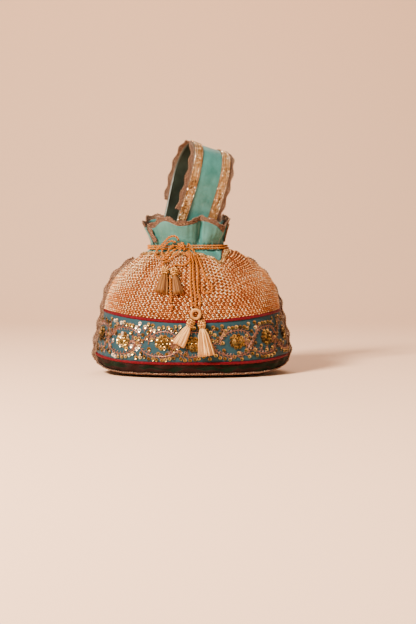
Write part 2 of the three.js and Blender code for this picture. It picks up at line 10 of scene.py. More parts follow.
import bpy
import numpy as np
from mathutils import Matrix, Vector

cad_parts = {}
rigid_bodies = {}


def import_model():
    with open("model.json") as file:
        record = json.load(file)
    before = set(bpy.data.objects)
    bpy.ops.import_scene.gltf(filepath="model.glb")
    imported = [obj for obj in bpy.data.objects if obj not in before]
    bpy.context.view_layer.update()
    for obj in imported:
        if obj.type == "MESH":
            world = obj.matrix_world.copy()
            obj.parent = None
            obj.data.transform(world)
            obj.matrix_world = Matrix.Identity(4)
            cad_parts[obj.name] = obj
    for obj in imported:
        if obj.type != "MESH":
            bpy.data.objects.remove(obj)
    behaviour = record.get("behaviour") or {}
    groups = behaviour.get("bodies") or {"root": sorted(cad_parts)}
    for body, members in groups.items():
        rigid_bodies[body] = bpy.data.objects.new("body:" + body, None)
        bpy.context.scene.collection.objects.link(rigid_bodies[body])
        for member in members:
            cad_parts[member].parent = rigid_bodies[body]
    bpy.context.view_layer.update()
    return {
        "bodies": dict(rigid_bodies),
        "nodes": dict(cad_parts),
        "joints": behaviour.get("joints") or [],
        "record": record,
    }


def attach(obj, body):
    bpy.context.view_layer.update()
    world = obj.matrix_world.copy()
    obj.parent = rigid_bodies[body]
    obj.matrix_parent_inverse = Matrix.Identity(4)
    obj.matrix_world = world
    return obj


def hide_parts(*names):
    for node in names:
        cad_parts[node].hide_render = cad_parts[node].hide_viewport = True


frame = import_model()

MM = 0.001
RANDOM = np.random.default_rng(41)

# ------------------------------------------------------------------------------ driving sizes

LEVEL_SEAM = 3.5
LEVEL_LOWER_PIPING = 17.0
LEVEL_UPPER_PIPING = 65.0
LEVEL_WEAVE_TOP = 144.0
LEVEL_NECK = 150.0
LEVEL_RIM = 176.5
PIPING_RADIUS = 1.6
PIPING_CLEARANCE = 1.2
SEAM_LEFT = -174.0
LACE_PERIOD = 20.0
CORD_RADIUS = 1.25
CORD_PITCH = 7.0
PLY_OUT = 0.62
PLY_RADIUS = 0.50
NECK_CORD_LEVELS = {"neck_cord_upper": 151.6, "neck_cord_lower": 148.8}
NECK_CORD_CLEARANCE = 1.9
KNOT_PLACE = (-10.8, 151.2, 8.9)
END_KNOT_PLACE = (-22.7, 83.2, 2.8)
END_KNOT_CORD = 0.8
CORD_RING = {"place": (5, 74, 3.2), "radius": 5, "cord": 1.75, "pitch": 4.4}

PROFILE_LEVELS = [0, 1.5, 3.5, 9, 17, 30, 45, 65, 80, 95, 108, 120, 131, 140, 146, 150, 156, 166,
                  177, 184]
PROFILE = {
    "side_height": [8, 9.5, 11.5, 16, 23, 37.5, 53.5, 75, 88, 101, 112, 122, 132, 140.5, 146,
                    150, 156, 166, 177, 184],
    "half_width": [97, 104.5, 110, 113.5, 114.5, 113, 109.5, 104.5, 102.8, 99.6, 94.6, 85.6,
                   72.8, 60.5, 49, 44, 44.5, 48.5, 54, 56],
    "half_depth": [62, 70, 75.5, 78.5, 80, 81, 81, 79.5, 77.5, 74, 68.5, 61, 53.5, 46.5, 40.5,
                   38, 39.5, 43, 47, 49],
    "hug": [8, 8, 8, 6, 4, 3, 2.3, 1.8, 1.8, 1.8, 1.8, 2, 2, 2, 2, 2, 2, 2, 2, 2],
    "drift": [0, 0, 0, 0, 0, 0, 0, 0, 0.3, 0.6, 0.6, 0.6, 0.8, -0.8, -3.4, -5, -6, -6.4, -6.8,
              -7],
    "pleat_depth": [0, 0, 0, 0, 0, 0, 0, 0, 0.4, 1.4, 2.8, 4.2, 5, 4.8, 4, 3.4, 4, 5.5, 7, 7.5],
    "pleat_span": [20, 20, 20, 20, 20, 20, 20, 20, 19, 17, 15, 13, 11.5, 10, 8.5, 8, 9, 12, 15,
                   16],
}
SECTION_POWER = 2.15
SHOULDER_VALLEYS = [-100, -36, 33, 76, 118, 160, 208]
RUFFLE_VALLEYS = [-100, -48, 19, 72, 112, 158, 206]
RIM_ANGLES = [-180, -140, -105, -80, -55, -26, -6, 24, 40, 57, 75, 100, 140, 180]
RIM_RISES = [4, 7, 2, -3, -4, 4, -2, 4, -1, -9, -3, 4, 7, 4]

# ------------------------------------------------------------------------------ camera and light

CAMERA = {
    "place": (19.2, -1680.0, 168.0),
    "tilt_down": math.atan(80 / 1400),
    "lens": 36.0 * 1400 / 624,
}
WALL_COLOUR = (0.96, 0.63, 0.43)
LIGHT_TARGET = (0, 0, 0.12)
LIGHTS = {
    "key": {"place": (-0.95, -1.2, 1.2), "size": (0.4, 0.4), "power": 124,
            "colour": (1.0, 0.86, 0.70)},
    "fill": {"place": (1.4, -1.1, 0.6), "size": (1.2, 1.2), "power": 3,
             "colour": (1.0, 0.86, 0.74)},
    "top": {"place": (0.1, 0.5, 1.5), "size": (1.0, 1.0), "power": 12,
            "colour": (1.0, 0.90, 0.80)},
}
STUDIO_COLOUR = (1.0, 0.83, 0.69)
STUDIO_STRENGTH = 0.24


def add_camera():
    data = bpy.data.cameras.new("camera")
    data.lens = CAMERA["lens"]
    data.sensor_width = 36.0
    data.clip_end = 20
    camera = bpy.data.objects.new("camera", data)
    camera.location = Vector(CAMERA["place"]) * MM
    camera.rotation_euler = (math.pi / 2 - CAMERA["tilt_down"], 0, 0)
    bpy.context.scene.collection.objects.link(camera)
    bpy.context.scene.camera = camera


def add_area_light(name, place, size, power, colour):
    data = bpy.data.lights.new(name, "AREA")
    data.shape = "RECTANGLE"
    data.size, data.size_y = size
    data.energy = power
    data.color = colour
    light = bpy.data.objects.new(name, data)
    light.location = place
    aim = Vector(LIGHT_TARGET) - Vector(place)
    light.rotation_euler = aim.to_track_quat("-Z", "Y").to_euler()
    bpy.context.scene.collection.objects.link(light)


def add_lights():
    for name, light in LIGHTS.items():
        add_area_light(name, **light)
    world = bpy.data.worlds.new("studio")
    world.use_nodes = True
    background = world.node_tree.nodes["Background"]
    background.inputs["Color"].default_value = (*STUDIO_COLOUR, 1)
    background.inputs["Strength"].default_value = STUDIO_STRENGTH
    bpy.context.scene.world = world


# ------------------------------------------------------------------------------ small maths


def smooth_table(at, values):
    """A smooth curve through a table of values that never overshoots them."""
    at = np.asarray(at, float)
    values = np.asarray(values, float)
    width = np.diff(at)
    step = np.diff(values) / width
    slope = np.empty(len(at))
    slope[0], slope[-1] = step[0], step[-1]
    before, after = step[:-1], step[1:]
    same = before * after > 0
    both = np.where(same, before + after, 1)
    slope[1:-1] = np.where(same, 2 * before * after / both, 0)

    def value(x):
        x = np.asarray(x, float)
        i = np.clip(np.searchsorted(at, x, side="left") - 1, 0, len(step) - 1)
        t = np.clip((x - at[i]) / width[i], 0, 1)
        a = 2 * t**3 - 3 * t**2 + 1
        b = t**3 - 2 * t**2 + t
        c = t**3 - t**2
        return (a * values[i] + b * width[i] * slope[i] + (1 - a) * values[i + 1]
                + c * width[i] * slope[i + 1])

    return value


PROFILE_AT = {name: smooth_table(PROFILE_LEVELS, values) for name, values in PROFILE.items()}
rim_rise = smooth_table(RIM_ANGLES, RIM_RISES)


def smoothstep(x, low, high):
    t = np.clip((np.asarray(x, float) - low) / (high - low), 0, 1)
    return t * t * (3 - 2 * t)


def wrap_degrees(angle):
    return np.mod(np.asarray(angle, float) + 180, 360) - 180


def bump(x, middle, half):
    """1 at the middle, falling to nothing beyond about twice the half width."""
    return np.exp(-((wrap_degrees(np.asarray(x, float) - middle) / half) ** 2))


def unit(v):
    return v / np.maximum(np.linalg.norm(v, axis=-1, keepdims=True), 1e-9)


def stack(x, y, z):
    return np.stack(np.broadcast_arrays(x, y, z), axis=-1).astype(float)


def ripples(a, b, count, low, high, seed):
    """A smooth wavy field of a and b, between about -1 and 1."""
    rng = np.random.default_rng(seed)
    total = 0
    for _ in range(count):
        turn = rng.uniform(0, 2 * math.pi)
        pitch = rng.uniform(low, high)
        phase = rng.uniform(0, 2 * math.pi)
        total = total + np.sin((a * math.cos(turn) + b * math.sin(turn)) * pitch + phase)
    return total / math.sqrt(count)


# ------------------------------------------------------------------------------ the cloth surface


def pleat(from_front, level):
    span = PROFILE_AT["pleat_span"](level)
    below = sum(np.exp(-((wrap_degrees(from_front - v) / span) ** 2)) for v in SHOULDER_VALLEYS)
    above = sum(np.exp(-((wrap_degrees(from_front - v) / span) ** 2)) for v in RUFFLE_VALLEYS)
    share = smoothstep(level, 146, 154)
    return PROFILE_AT["pleat_depth"](level) * (below * (1 - share) + above * share)


def cloth(angle, level):
    """The point of the plain cloth surface, the same as the CAD model's."""
    angle, level = np.broadcast_arrays(np.asarray(angle, float), np.asarray(level, float))
    cos, sin = np.cos(np.radians(angle)), np.sin(np.radians(angle))
    pull = pleat(angle + 90, level)
    power = 2 / SECTION_POWER
    from_side = np.abs(cos) ** PROFILE_AT["hug"](level)
    x = (PROFILE_AT["drift"](level)
         + (PROFILE_AT["half_width"](level) - pull) * np.sign(cos) * np.abs(cos) ** power)
    y = (PROFILE_AT["half_depth"](level) - pull) * np.sign(sin) * np.abs(sin) ** power
    z = level + (PROFILE_AT["side_height"](level) - level) * from_side
    return stack(x, y, z)


def cloth_normal(angle, level, surface=cloth):
    across = surface(angle + 1.5, level) - surface(angle - 1.5, level)
    up = surface(angle, level + 0.7) - surface(angle, np.maximum(level - 0.7, 0))
    return unit(np.cross(across, up))


def lifted(angle, level, stand_off, surface=cloth):
    return surface(angle, level) + cloth_normal(angle, level, surface) * np.asarray(
        stand_off, float)[..., None]


def on_front(point):
    """The place at a given x and height that stands a given distance off the front's cloth."""
    x, z, stand_off = point
    angle, level = -90 + (x - PROFILE_AT["drift"](z)) * 0.9, z
    for _ in range(30):
        here = lifted(angle, level, stand_off)
        turned = (lifted(angle + 0.5, level, stand_off) - here) * 2
        raised = (lifted(angle, level + 0.5, stand_off) - here) * 2
        miss_x, miss_z = x - here[0], z - here[2]
        scale = turned[0] * raised[2] - raised[0] * turned[2]
        angle += np.clip((miss_x * raised[2] - raised[0] * miss_z) / scale, -4, 4)
        level += np.clip((turned[0] * miss_z - miss_x * turned[2]) / scale, -2, 2)
    return lifted(angle, level, stand_off)


def seam_right(level):
    return 3 + 14 * smoothstep(level, 60, 105)


def panel_angle(side, share, level, clearance=0.45):
    """The angle a share of the way across one panel. Angles grow with the share on both sides."""
    trim = np.degrees(clearance / PROFILE_AT["half_depth"](level))
    if side == "front":
        low, high = SEAM_LEFT, seam_right(level)
    else:
        low, high = seam_right(level), SEAM_LEFT + 360
    return low + trim + (high - low - 2 * trim) * share


def weave_top(angle):
    """The level at which the weave ends: it dips into one pleat and rises beside it."""
    return (LEVEL_WEAVE_TOP - 9 * bump(angle, -62, 10) + 4 * bump(angle, -28, 13)
            + 0.8 * np.cos(np.radians(3 * angle)))


def relief(angle, level):
    """Small folds that the gathers and seams press into the cloth."""
    turn = np.radians(angle)
    near_neck = smoothstep(level, 88, 140)
    gathers = (0.45 * np.sin(31 * turn + 1.3 * np.sin(3 * turn))
               + 0.4 * np.sin(47 * turn + 2 * np.sin(2 * turn + level / 30)))
    soft = 0.5 * ripples(angle / 9, level / 14, 6, 0.6, 1.5, 5)
    pinch = 0.35 * np.sin(40 * turn + 2 * np.sin(5 * turn))
    at_piping = (np.exp(-((level - LEVEL_UPPER_PIPING) / 6) ** 2)
                 + np.exp(-((level - LEVEL_LOWER_PIPING) / 5) ** 2))
    crease = -1.6 * bump(angle, -126, 3.4) * smoothstep(level, 84, 118)
    crease = crease - 0.9 * bump(angle, -112, 3.0) * smoothstep(level, 100, 128)
    crease = crease + 0.8 * bump(angle, -119, 4.0) * smoothstep(level, 92, 122)
    crease = crease - 1.4 * bump(angle, -62, 4.0) * smoothstep(level, 104, 128)
    shelf = 4.0 * bump(angle, -27, 15) * smoothstep(level, 122, 136) * (
        1 - smoothstep(level, 141, 147))
    pucker = 0.9 * np.sin(27 * turn + 2 * np.sin(3 * turn)) * smoothstep(level, 4, 9) * (
        1 - smoothstep(level, 12, 15.5))
    return (pucker + gathers * near_neck + soft * smoothstep(level, 4, 20)
            + pinch * at_piping * 0.5 + crease + shelf)


def folded(angle, level):
    """The cloth surface with its small folds."""
    return lifted(angle, level, relief(angle, level))


def arc_levels(low, high, step, angle=-90.0):
    """Levels that lie a given length of cloth apart up the front."""
    fine = np.linspace(low, high, 200)
    points = cloth(np.full(200, angle), fine)
    run = np.concatenate([[0], np.cumsum(np.linalg.norm(np.diff(points, axis=0), axis=1))])
    count = max(int(round(run[-1] / step)), 1)
    return np.interp(np.linspace(0, run[-1], count + 1), run, fine)


# ------------------------------------------------------------------------------ mesh making


def mesh_object(name, vertices, faces, material, uv=None, tone=None, replaces=(), slot=None):
    """A mesh from points in mm and faces, which rides on the bag's only body."""
    faces = [np.asarray(f, np.int32) for f in (faces if isinstance(faces, list) else [faces])]
    mesh = bpy.data.meshes.new(name)
    mesh.vertices.add(len(vertices))
    mesh.vertices.foreach_set("co", (np.asarray(vertices, float) * MM).ravel())
    loops = np.concatenate([f.ravel() for f in faces])
    totals = np.concatenate([np.full(len(f), f.shape[1], np.int32) for f in faces])
    mesh.loops.add(len(loops))
    mesh.loops.foreach_set("vertex_index", loops)
    mesh.polygons.add(len(totals))
    starts = np.concatenate([[0], np.cumsum(totals)[:-1]]).astype(np.int32)
    mesh.polygons.foreach_set("loop_start", starts)
    mesh.polygons.foreach_set("use_smooth", np.ones(len(totals), bool))
    mesh.update(calc_edges=True)
    if uv is not None:
        layer = mesh.uv_layers.new(name="cloth")
        layer.data.foreach_set("uv", np.asarray(uv, np.float32)[loops].ravel())
    if tone is not None:
        mesh.attributes.new("tone", "FLOAT", "POINT").data.foreach_set(
            "value", np.asarray(tone, np.float32))
    mesh.materials.append(material)
    piece = bpy.data.objects.new(name, mesh)
    bpy.context.scene.collection.objects.link(piece)
    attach(piece, "root")
    if replaces:
        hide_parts(*replaces)
    return piece


def grid_faces(rows, columns, wrap=False, loop=False, start=0):
    r = np.arange(rows if loop else rows - 1)
    c = np.arange(columns if wrap else columns - 1)
    r, c = (a.ravel() for a in np.meshgrid(r, c, indexing="ij"))
    r1, c1 = (r + 1) % rows, (c + 1) % columns
    return start + np.stack([r * columns + c, r * columns + c1, r1 * columns + c1,
                             r1 * columns + c], axis=1)


def sheet(outer, inner, wrap=False):
    """Vertices and faces of a closed sheet between two grids of points."""
    rows, columns = outer.shape[:2]
    count = rows * columns
    vertices = np.concatenate([outer.reshape(-1, 3), inner.reshape(-1, 3)])
    front = grid_faces(rows, columns, wrap)
    back = grid_faces(rows, columns, wrap, start=count)[:, ::-1]
    index = np.arange(count).reshape(rows, columns)
    if wrap:
        low = np.append(index[0], index[0][0])
        high = np.append(index[-1], index[-1][0])
        rims = [low, high[::-1]]
    else:
        rims = [np.concatenate([index[0], index[1:, -1], index[-1, -2::-1], index[-2::-1, 0]])]
    sides = [np.stack([rim[1:], rim[:-1], rim[:-1] + count, rim[1:] + count], axis=1)
             for rim in rims]
    return vertices, np.concatenate([front, back, *sides])


def sheet_object(name, outer, inner, material, uv, **words):
    vertices, faces = sheet(outer, inner, words.pop("wrap", False))
    both = np.concatenate([uv.reshape(-1, 2)] * 2)
    return mesh_object(name, vertices, faces, material, uv=both, **words)


def offset_grid(grid, distance):
    """The grid moved along its own normals."""
    across = np.gradient(grid, axis=1)
    up = np.gradient(grid, axis=0)
    return grid + unit(np.cross(across, up)) * distance


def run_length(points):
    steps = np.linalg.norm(np.diff(points, axis=0), axis=1)
    return np.concatenate([[0], np.cumsum(steps)])


def resample(points, step):
    """The same line with points at an even spacing."""
    points = np.asarray(points, float)
    run = run_length(points)
    count = max(int(round(run[-1] / step)), 2)
    at = np.linspace(0, run[-1], count + 1)
    return np.stack([np.interp(at, run, points[:, i]) for i in range(3)], axis=1)


def spline(points, step, closed=False):
    """A smooth centripetal curve through given points, at an even spacing."""
    p = np.asarray(points, float)
    p = np.vstack([p[-1], p, p[:2]]) if closed else np.vstack(
        [2 * p[0] - p[1], p, 2 * p[-1] - p[-2]])
    out = []
    for i in range(1, len(p) - 2):
        knots = [0.0]
        for a, b in zip(p[i - 1:i + 2], p[i:i + 3]):
            knots.append(knots[-1] + max(np.linalg.norm(b - a), 1e-6) ** 0.5)
        t = np.linspace(knots[1], knots[2], 24, endpoint=False)[:, None]

        def mix(a, b, ta, tb):
            return ((tb - t) * a + (t - ta) * b) / (tb - ta)

        a1 = mix(p[i - 1], p[i], knots[0], knots[1])
        a2 = mix(p[i], p[i + 1], knots[1], knots[2])
        a3 = mix(p[i + 1], p[i + 2], knots[2], knots[3])
        b1 = mix(a1, a2, knots[0], knots[2])
        b2 = mix(a2, a3, knots[1], knots[3])
        out.append(mix(b1, b2, knots[1], knots[2]))
    out.append(p[-2][None])
    return resample(np.vstack(out), step)


def frames(points, closed=False):
    """Tangent, normal and side directions along a line, turned as little as they can be."""
    if closed:
        tangent = unit(np.roll(points, -1, axis=0) - np.roll(points, 1, axis=0))
    else:
        tangent = unit(np.gradient(points, axis=0))
    start = np.cross(tangent[0], (0, 0, 1))
    if np.linalg.norm(start) < 0.1:
        start = np.cross(tangent[0], (0, 1, 0))
    normal = np.empty_like(points)
    normal[0] = unit(start)
    for i in range(1, len(points)):
        n = normal[i - 1] - tangent[i] * np.dot(normal[i - 1], tangent[i])
        normal[i] = n / np.linalg.norm(n)
    if closed:
        end = normal[-1] - tangent[0] * np.dot(normal[-1], tangent[0])
        end = end / np.linalg.norm(end)
        twist = math.atan2(np.dot(np.cross(end, normal[0]), tangent[0]), np.dot(end, normal[0]))
        turn = twist * np.arange(len(points)) / len(points)
        side = np.cross(tangent, normal)
        normal = normal * np.cos(turn)[:, None] + side * np.sin(turn)[:, None]
    return tangent, normal, np.cross(tangent, normal)


class Build:
    """Gathers many small solids into one mesh."""

    def __init__(self):
        self.vertices, self.faces, self.tones, self.uvs, self.count = [], [], [], [], 0

    def add(self, vertices, faces, tone=0.5, uv=None):
        self.vertices.append(vertices)
        self.faces.extend([np.asarray(f) + self.count for f in faces])
        self.tones.append(np.broadcast_to(np.asarray(tone, float), len(vertices)))
        self.uvs.append(np.zeros((len(vertices), 2)) if uv is None else uv)
        self.count += len(vertices)

    def tube(self, points, radius, sides=6, closed=False, frame=None, tone=0.5, flat=1.0):
        """A round tube, or an oval one, whose radius may differ from point to point."""
        count = len(points)
        _, normal, side = frame or frames(points, closed)
        radius = np.broadcast_to(radius, count)[:, None, None]
        turn = np.arange(sides) * 2 * math.pi / sides
        ring = (normal[:, None] * np.cos(turn)[None, :, None] * flat
                + side[:, None] * np.sin(turn)[None, :, None])
        vertices = (points[:, None] + ring * radius).reshape(-1, 3)
        faces = [grid_faces(count, sides, wrap=True, loop=closed)]
        if not closed:
            faces.append(np.arange(sides)[None, ::-1])
            faces.append((np.arange(sides) + (count - 1) * sides)[None])
        run = run_length(points)
        uv = np.stack([np.repeat(run, sides), np.tile(turn, count)], axis=1)
        tone = np.repeat(np.broadcast_to(tone, count), sides)
        self.add(vertices, faces, tone, uv)

    def scatter(self, shape, places, axes, tones):
        """Copies of one small solid: shape is its vertices and faces."""
        vertices, faces = shape
        copies = len(places)
        placed = np.einsum("vi,nij->nvj", vertices, axes) + places[:, None]
        shift = (np.arange(copies) * len(vertices))[:, None, None]
        tones = np.repeat(np.broadcast_to(tones, copies), len(vertices))
        joined = [(np.asarray(f)[None] + shift).reshape(-1, np.asarray(f).shape[1])
                  for f in faces]
        self.add(placed.reshape(-1, 3), joined, tones)

    def object(self, name, material, **words):
        faces = {}
        for f in self.faces:
            faces.setdefault(f.shape[1], []).append(f)
        return mesh_object(name, np.concatenate(self.vertices),
                           [np.concatenate(f) for f in faces.values()], material,
                           uv=np.concatenate(self.uvs), tone=np.concatenate(self.tones), **words)


def ball(rings=4, segments=6):
    """A small sphere of radius 1."""
    lat = np.linspace(0, math.pi, rings + 1)[1:-1]
    lon = np.arange(segments) * 2 * math.pi / segments
    lat, lon = np.meshgrid(lat, lon, indexing="ij")
    body = stack(np.sin(lat) * np.cos(lon), np.sin(lat) * np.sin(lon), np.cos(lat))
    vertices = np.concatenate([body.reshape(-1, 3), [[0, 0, 1], [0, 0, -1]]])
    count = (rings - 1) * segments
    ring = np.arange(segments)
    nxt = (ring + 1) % segments
    top = np.stack([np.full(segments, count), ring, nxt], axis=1)
    low = count - segments
    bottom = np.stack([np.full(segments, count + 1), low + nxt, low + ring], axis=1)
    sides = grid_faces(rings - 1, segments, wrap=True)[:, ::-1]
    return vertices, [np.concatenate([top, bottom]), sides]


# ------------------------------------------------------------------------------ materials


class Nodes:
    """A short way to write a material's node tree."""

    def __init__(self, name):
        self.material = bpy.data.materials.new(name)
        self.material.use_nodes = True
        self.tree = self.material.node_tree
        self.shader = self.tree.nodes["Principled BSDF"]

    def node(self, kind, settings=None, **inputs):
        node = self.tree.nodes.new("ShaderNode" + kind)
        for key, value in (settings or {}).items():
            setattr(node, key, value)
        for key, value in inputs.items():
            self.plug(node.inputs[int(key[1:]) if key[0] == "_" else key.replace("_", " ")],
                      value)
        return node

    def plug(self, socket, value):
        if isinstance(value, bpy.types.NodeSocket):
            self.tree.links.new(value, socket)
        elif isinstance(value, tuple) and len(value) == 3 and socket.type == "RGBA":
            socket.default_value = (*value, 1)
        else:
            socket.default_value = value

    def cloth_uv(self, scale=(1, 1, 1)):
        uv = self.node("UVMap", {"uv_map": "cloth"}).outputs[0]
        return self.node("Mapping", Vector=uv, Scale=scale).outputs[0]

    def noise(self, scale, detail=3.0, vector=None, rough=0.55):
        words = {} if vector is None else {"Vector": vector}
        return self.node("TexNoise", Scale=scale, Detail=detail, Roughness=rough,
                         **words).outputs[0]

    def maths(self, operation, a, b=0.5):
        return self.node("Math", {"operation": operation}, _0=a, _1=b).outputs[0]

    def ramp(self, value, *stops):
        node = self.node("ValToRGB", Fac=value)
        elements = node.color_ramp.elements
        while len(elements) < len(stops):
            elements.new(0.5)
        for element, (place, colour) in zip(elements, stops):
            element.position = place
            element.color = (*colour, 1)
        return node.outputs[0]

    def mix(self, share, a, b, blend="MIX"):
        node = self.node("Mix", {"data_type": "RGBA", "blend_type": blend}, _0=share)
        self.plug(node.inputs[6], a)
        self.plug(node.inputs[7], b)
        return node.outputs[2]

    def bump(self, height, distance_mm, strength=1.0, after=None):
        words = {} if after is None else {"Normal": after}
        return self.node("Bump", Strength=strength, Distance=distance_mm * MM, Height=height,
                         **words).outputs[0]

    def finish(self, **inputs):
        for key, value in inputs.items():
            self.plug(self.shader.inputs[key.replace("_", " ")], value)
        return self.material


def tone_of(n):
    return n.node("Attribute", {"attribute_name": "tone"}).outputs["Fac"]


def make_materials():
    m = {}

    n = Nodes("zari_ground")
    uv = n.cloth_uv()
    stripes = n.node("TexWave", {"bands_direction": "Y"}, Vector=uv, Scale=0.9,
                     Distortion=2.0, Detail=2.0).outputs[1]
    colour = n.ramp(n.noise(0.5, 4, uv), (0.25, (0.040, 0.009, 0.002)),
                    (0.75, (0.20, 0.052, 0.012)))
    m["zari_ground"] = n.finish(Base_Color=colour, Metallic=0.25, Roughness=0.55,
                                Specular_IOR_Level=0.15, Normal=n.bump(stripes, 0.25))

    n = Nodes("zari_float")
    fine = n.noise(2600, 2)
    colour = n.ramp(tone_of(n), (0.0, (0.24, 0.052, 0.011)), (0.35, (0.60, 0.190, 0.050)),
                    (0.66, (0.90, 0.42, 0.14)), (1.0, (1.0, 0.80, 0.50)))
    m["zari_float"] = n.finish(Base_Color=colour, Metallic=0.5, Roughness=0.27,
                               Specular_IOR_Level=0.3, Normal=n.bump(fine, 0.12))

    n = Nodes("raw_silk")
    uv = n.cloth_uv((0.28, 2.6, 1))
    slub = n.noise(1.0, 5, uv, 0.65)
    warp = n.noise(1.0, 3, n.cloth_uv((3.2, 0.4, 1)))
    colour = n.ramp(slub, (0.30, (0.005, 0.026, 0.038)), (0.70, (0.018, 0.066, 0.088)))
    height = n.maths("ADD", slub, n.maths("MULTIPLY", warp, 0.6))
    m["raw_silk"] = n.finish(Base_Color=colour, Roughness=0.62, Specular_IOR_Level=0.2,
                             Sheen_Weight=0.1, Sheen_Roughness=0.4, Normal=n.bump(height, 0.35))

    n = Nodes("brocade")
    uv = n.cloth_uv((1, 1, 1))
    figure = n.node("TexVoronoi", {"feature": "SMOOTH_F1"}, Vector=uv, Scale=0.060,
                    Smoothness=0.4).outputs[0]
    petals = n.node("TexWave", {"wave_type": "RINGS"}, Vector=uv, Scale=0.045, Distortion=7.0,
                    Detail=1.0).outputs[1]
    shape = n.maths("ADD", figure, n.maths("MULTIPLY", petals, 0.55))
    share = n.node("MapRange", _0=shape, _1=0.74, _2=0.86).outputs[0]
    twill = n.node("TexWave", {"bands_direction": "DIAGONAL"}, Vector=uv, Scale=0.8).outputs[1]
    green = n.mix(n.noise(0.12, 3, uv), (0.0006, 0.0026, 0.001), (0.002, 0.010, 0.002))
    colour = n.mix(share, green, (0.013, 0.003, 0.002))
    height = n.maths("ADD", n.maths("MULTIPLY", twill, 0.4), share)
    m["brocade"] = n.finish(Base_Color=colour, Roughness=0.65, Specular_IOR_Level=0.12,
                            Normal=n.bump(height, 0.3))

    n = Nodes("piping_satin")
    uv = n.cloth_uv()
    bias = n.node("TexWave", {"bands_direction": "DIAGONAL"}, Vector=uv, Scale=0.55,
                  Distortion=1.0).outputs[1]
    colour = n.ramp(n.noise(0.35, 3, uv), (0.3, (0.060, 0.0003, 0.003)),
                    (0.7, (0.150, 0.0004, 0.009)))
    m["piping_satin"] = n.finish(Base_Color=colour, Roughness=0.5, Specular_IOR_Level=0.12,
                                 Normal=n.bump(bias, 0.15))

    n = Nodes("teal_satin")
    uv = n.cloth_uv()
    threads = n.noise(1.0, 2, n.cloth_uv((0.5, 6.0, 1)))
    clouds = n.noise(0.055, 4, uv)
    colour = n.ramp(clouds, (0.28, (0.018, 0.112, 0.100)), (0.72, (0.058, 0.215, 0.200)))
    normal = n.bump(threads, 0.06)
    normal = n.bump(n.noise(0.11, 3, uv), 1.6, 0.6, normal)
    m["teal_satin"] = n.finish(Base_Color=colour, Roughness=0.42, Specular_IOR_Level=0.45,
                               Anisotropic=0.4, Sheen_Weight=0.12, Sheen_Roughness=0.35,
                               Normal=normal)

    n = Nodes("dark_lining")
    uv = n.cloth_uv()
    threads = n.noise(1.0, 2, n.cloth_uv((4.0, 0.5, 1)))
    colour = n.ramp(n.noise(0.05, 3, uv), (0.3, (0.008, 0.012, 0.008)),
                    (0.7, (0.022, 0.032, 0.024)))
    normal = n.bump(n.noise(0.09, 3, uv), 1.5, 0.6, n.bump(threads, 0.06))
    m["dark_lining"] = n.finish(Base_Color=colour, Roughness=0.34, Normal=normal)

    n = Nodes("crochet_yarn")
    fine = n.noise(900, 3)
    blotch = n.noise(330, 2)
    colour = n.ramp(blotch, (0.43, (0.016, 0.005, 0.002)), (0.55, (0.12, 0.044, 0.022)),
                    (0.67, (0.90, 0.560, 0.370)))
    m["crochet_yarn"] = n.finish(Base_Color=colour, Roughness=0.58, Metallic=0.3,
                                 Specular_IOR_Level=0.2, Sheen_Weight=0.1,
                                 Normal=n.bump(fine, 0.3))

    n = Nodes("zari_braid")
    fine = n.noise(1100, 3)
    colour = n.ramp(tone_of(n), (0.0, (0.060, 0.022, 0.005)), (0.45, (0.42, 0.200, 0.055)),
                    (1.0, (0.95, 0.700, 0.360)))
    m["zari_braid"] = n.finish(Base_Color=colour, Metallic=0.6, Roughness=0.38,
                               Normal=n.bump(fine, 0.2))

    n = Nodes("mirror_bead")
    colour = n.ramp(tone_of(n), (0.0, (0.28, 0.125, 0.030)), (1.0, (1.0, 0.90, 0.70)))
    m["mirror_bead"] = n.finish(Base_Color=colour, Metallic=0.9, Roughness=0.16)

    n = Nodes("twisted_cord")
    fibres = n.noise(1.0, 2, n.cloth_uv((0.5, 5.0, 1)))
    colour = n.ramp(fibres, (0.25, (0.30, 0.078, 0.005)), (0.75, (0.70, 0.240, 0.026)))
    # Tone 0, on the rope's core, is painted shade between the plies; lower tones on frayed strands
    # darken them at random.
    colour = n.mix(tone_of(n), (0.028, 0.008, 0.002), colour)
    m["twisted_cord"] = n.finish(Base_Color=colour, Roughness=0.4, Specular_IOR_Level=0.15,
                                 Normal=n.bump(fibres, 0.12))

    n = Nodes("pale_cord")
    fibres = n.noise(1.0, 2, n.cloth_uv((0.5, 5.0, 1)))
    colour = n.ramp(fibres, (0.25, (0.50, 0.210, 0.045)), (0.75, (0.92, 0.540, 0.190)))
    # Tone 0, on the rope's core, is painted shade between the plies.
    colour = n.mix(tone_of(n), (0.10, 0.035, 0.010), colour)
    m["pale_cord"] = n.finish(Base_Color=colour, Roughness=0.42, Specular_IOR_Level=0.15,
                              Normal=n.bump(fibres, 0.12))

    n = Nodes("gold_bead")
    # Tone 0, on a head's core, is painted shade between the beads; the beads themselves vary at
    # random.
    colour = n.ramp(tone_of(n), (0.0, (0.13, 0.048, 0.009)), (1.0, (0.84, 0.450, 0.130)))
    m["gold_bead"] = n.finish(Base_Color=colour, Metallic=0.75, Roughness=0.28)

    n = Nodes("tassel_silk")
    # The dark low end of this ramp is painted shade on the upper tassels.
    colour = n.ramp(tone_of(n), (0.0, (0.09, 0.028, 0.006)), (0.5, (0.46, 0.210, 0.055)),
                    (1.0, (1.0, 0.660, 0.275)))
    m["tassel_silk"] = n.finish(Base_Color=colour, Roughness=0.4, Specular_IOR_Level=0.12)

    n = Nodes("sequin_foil")
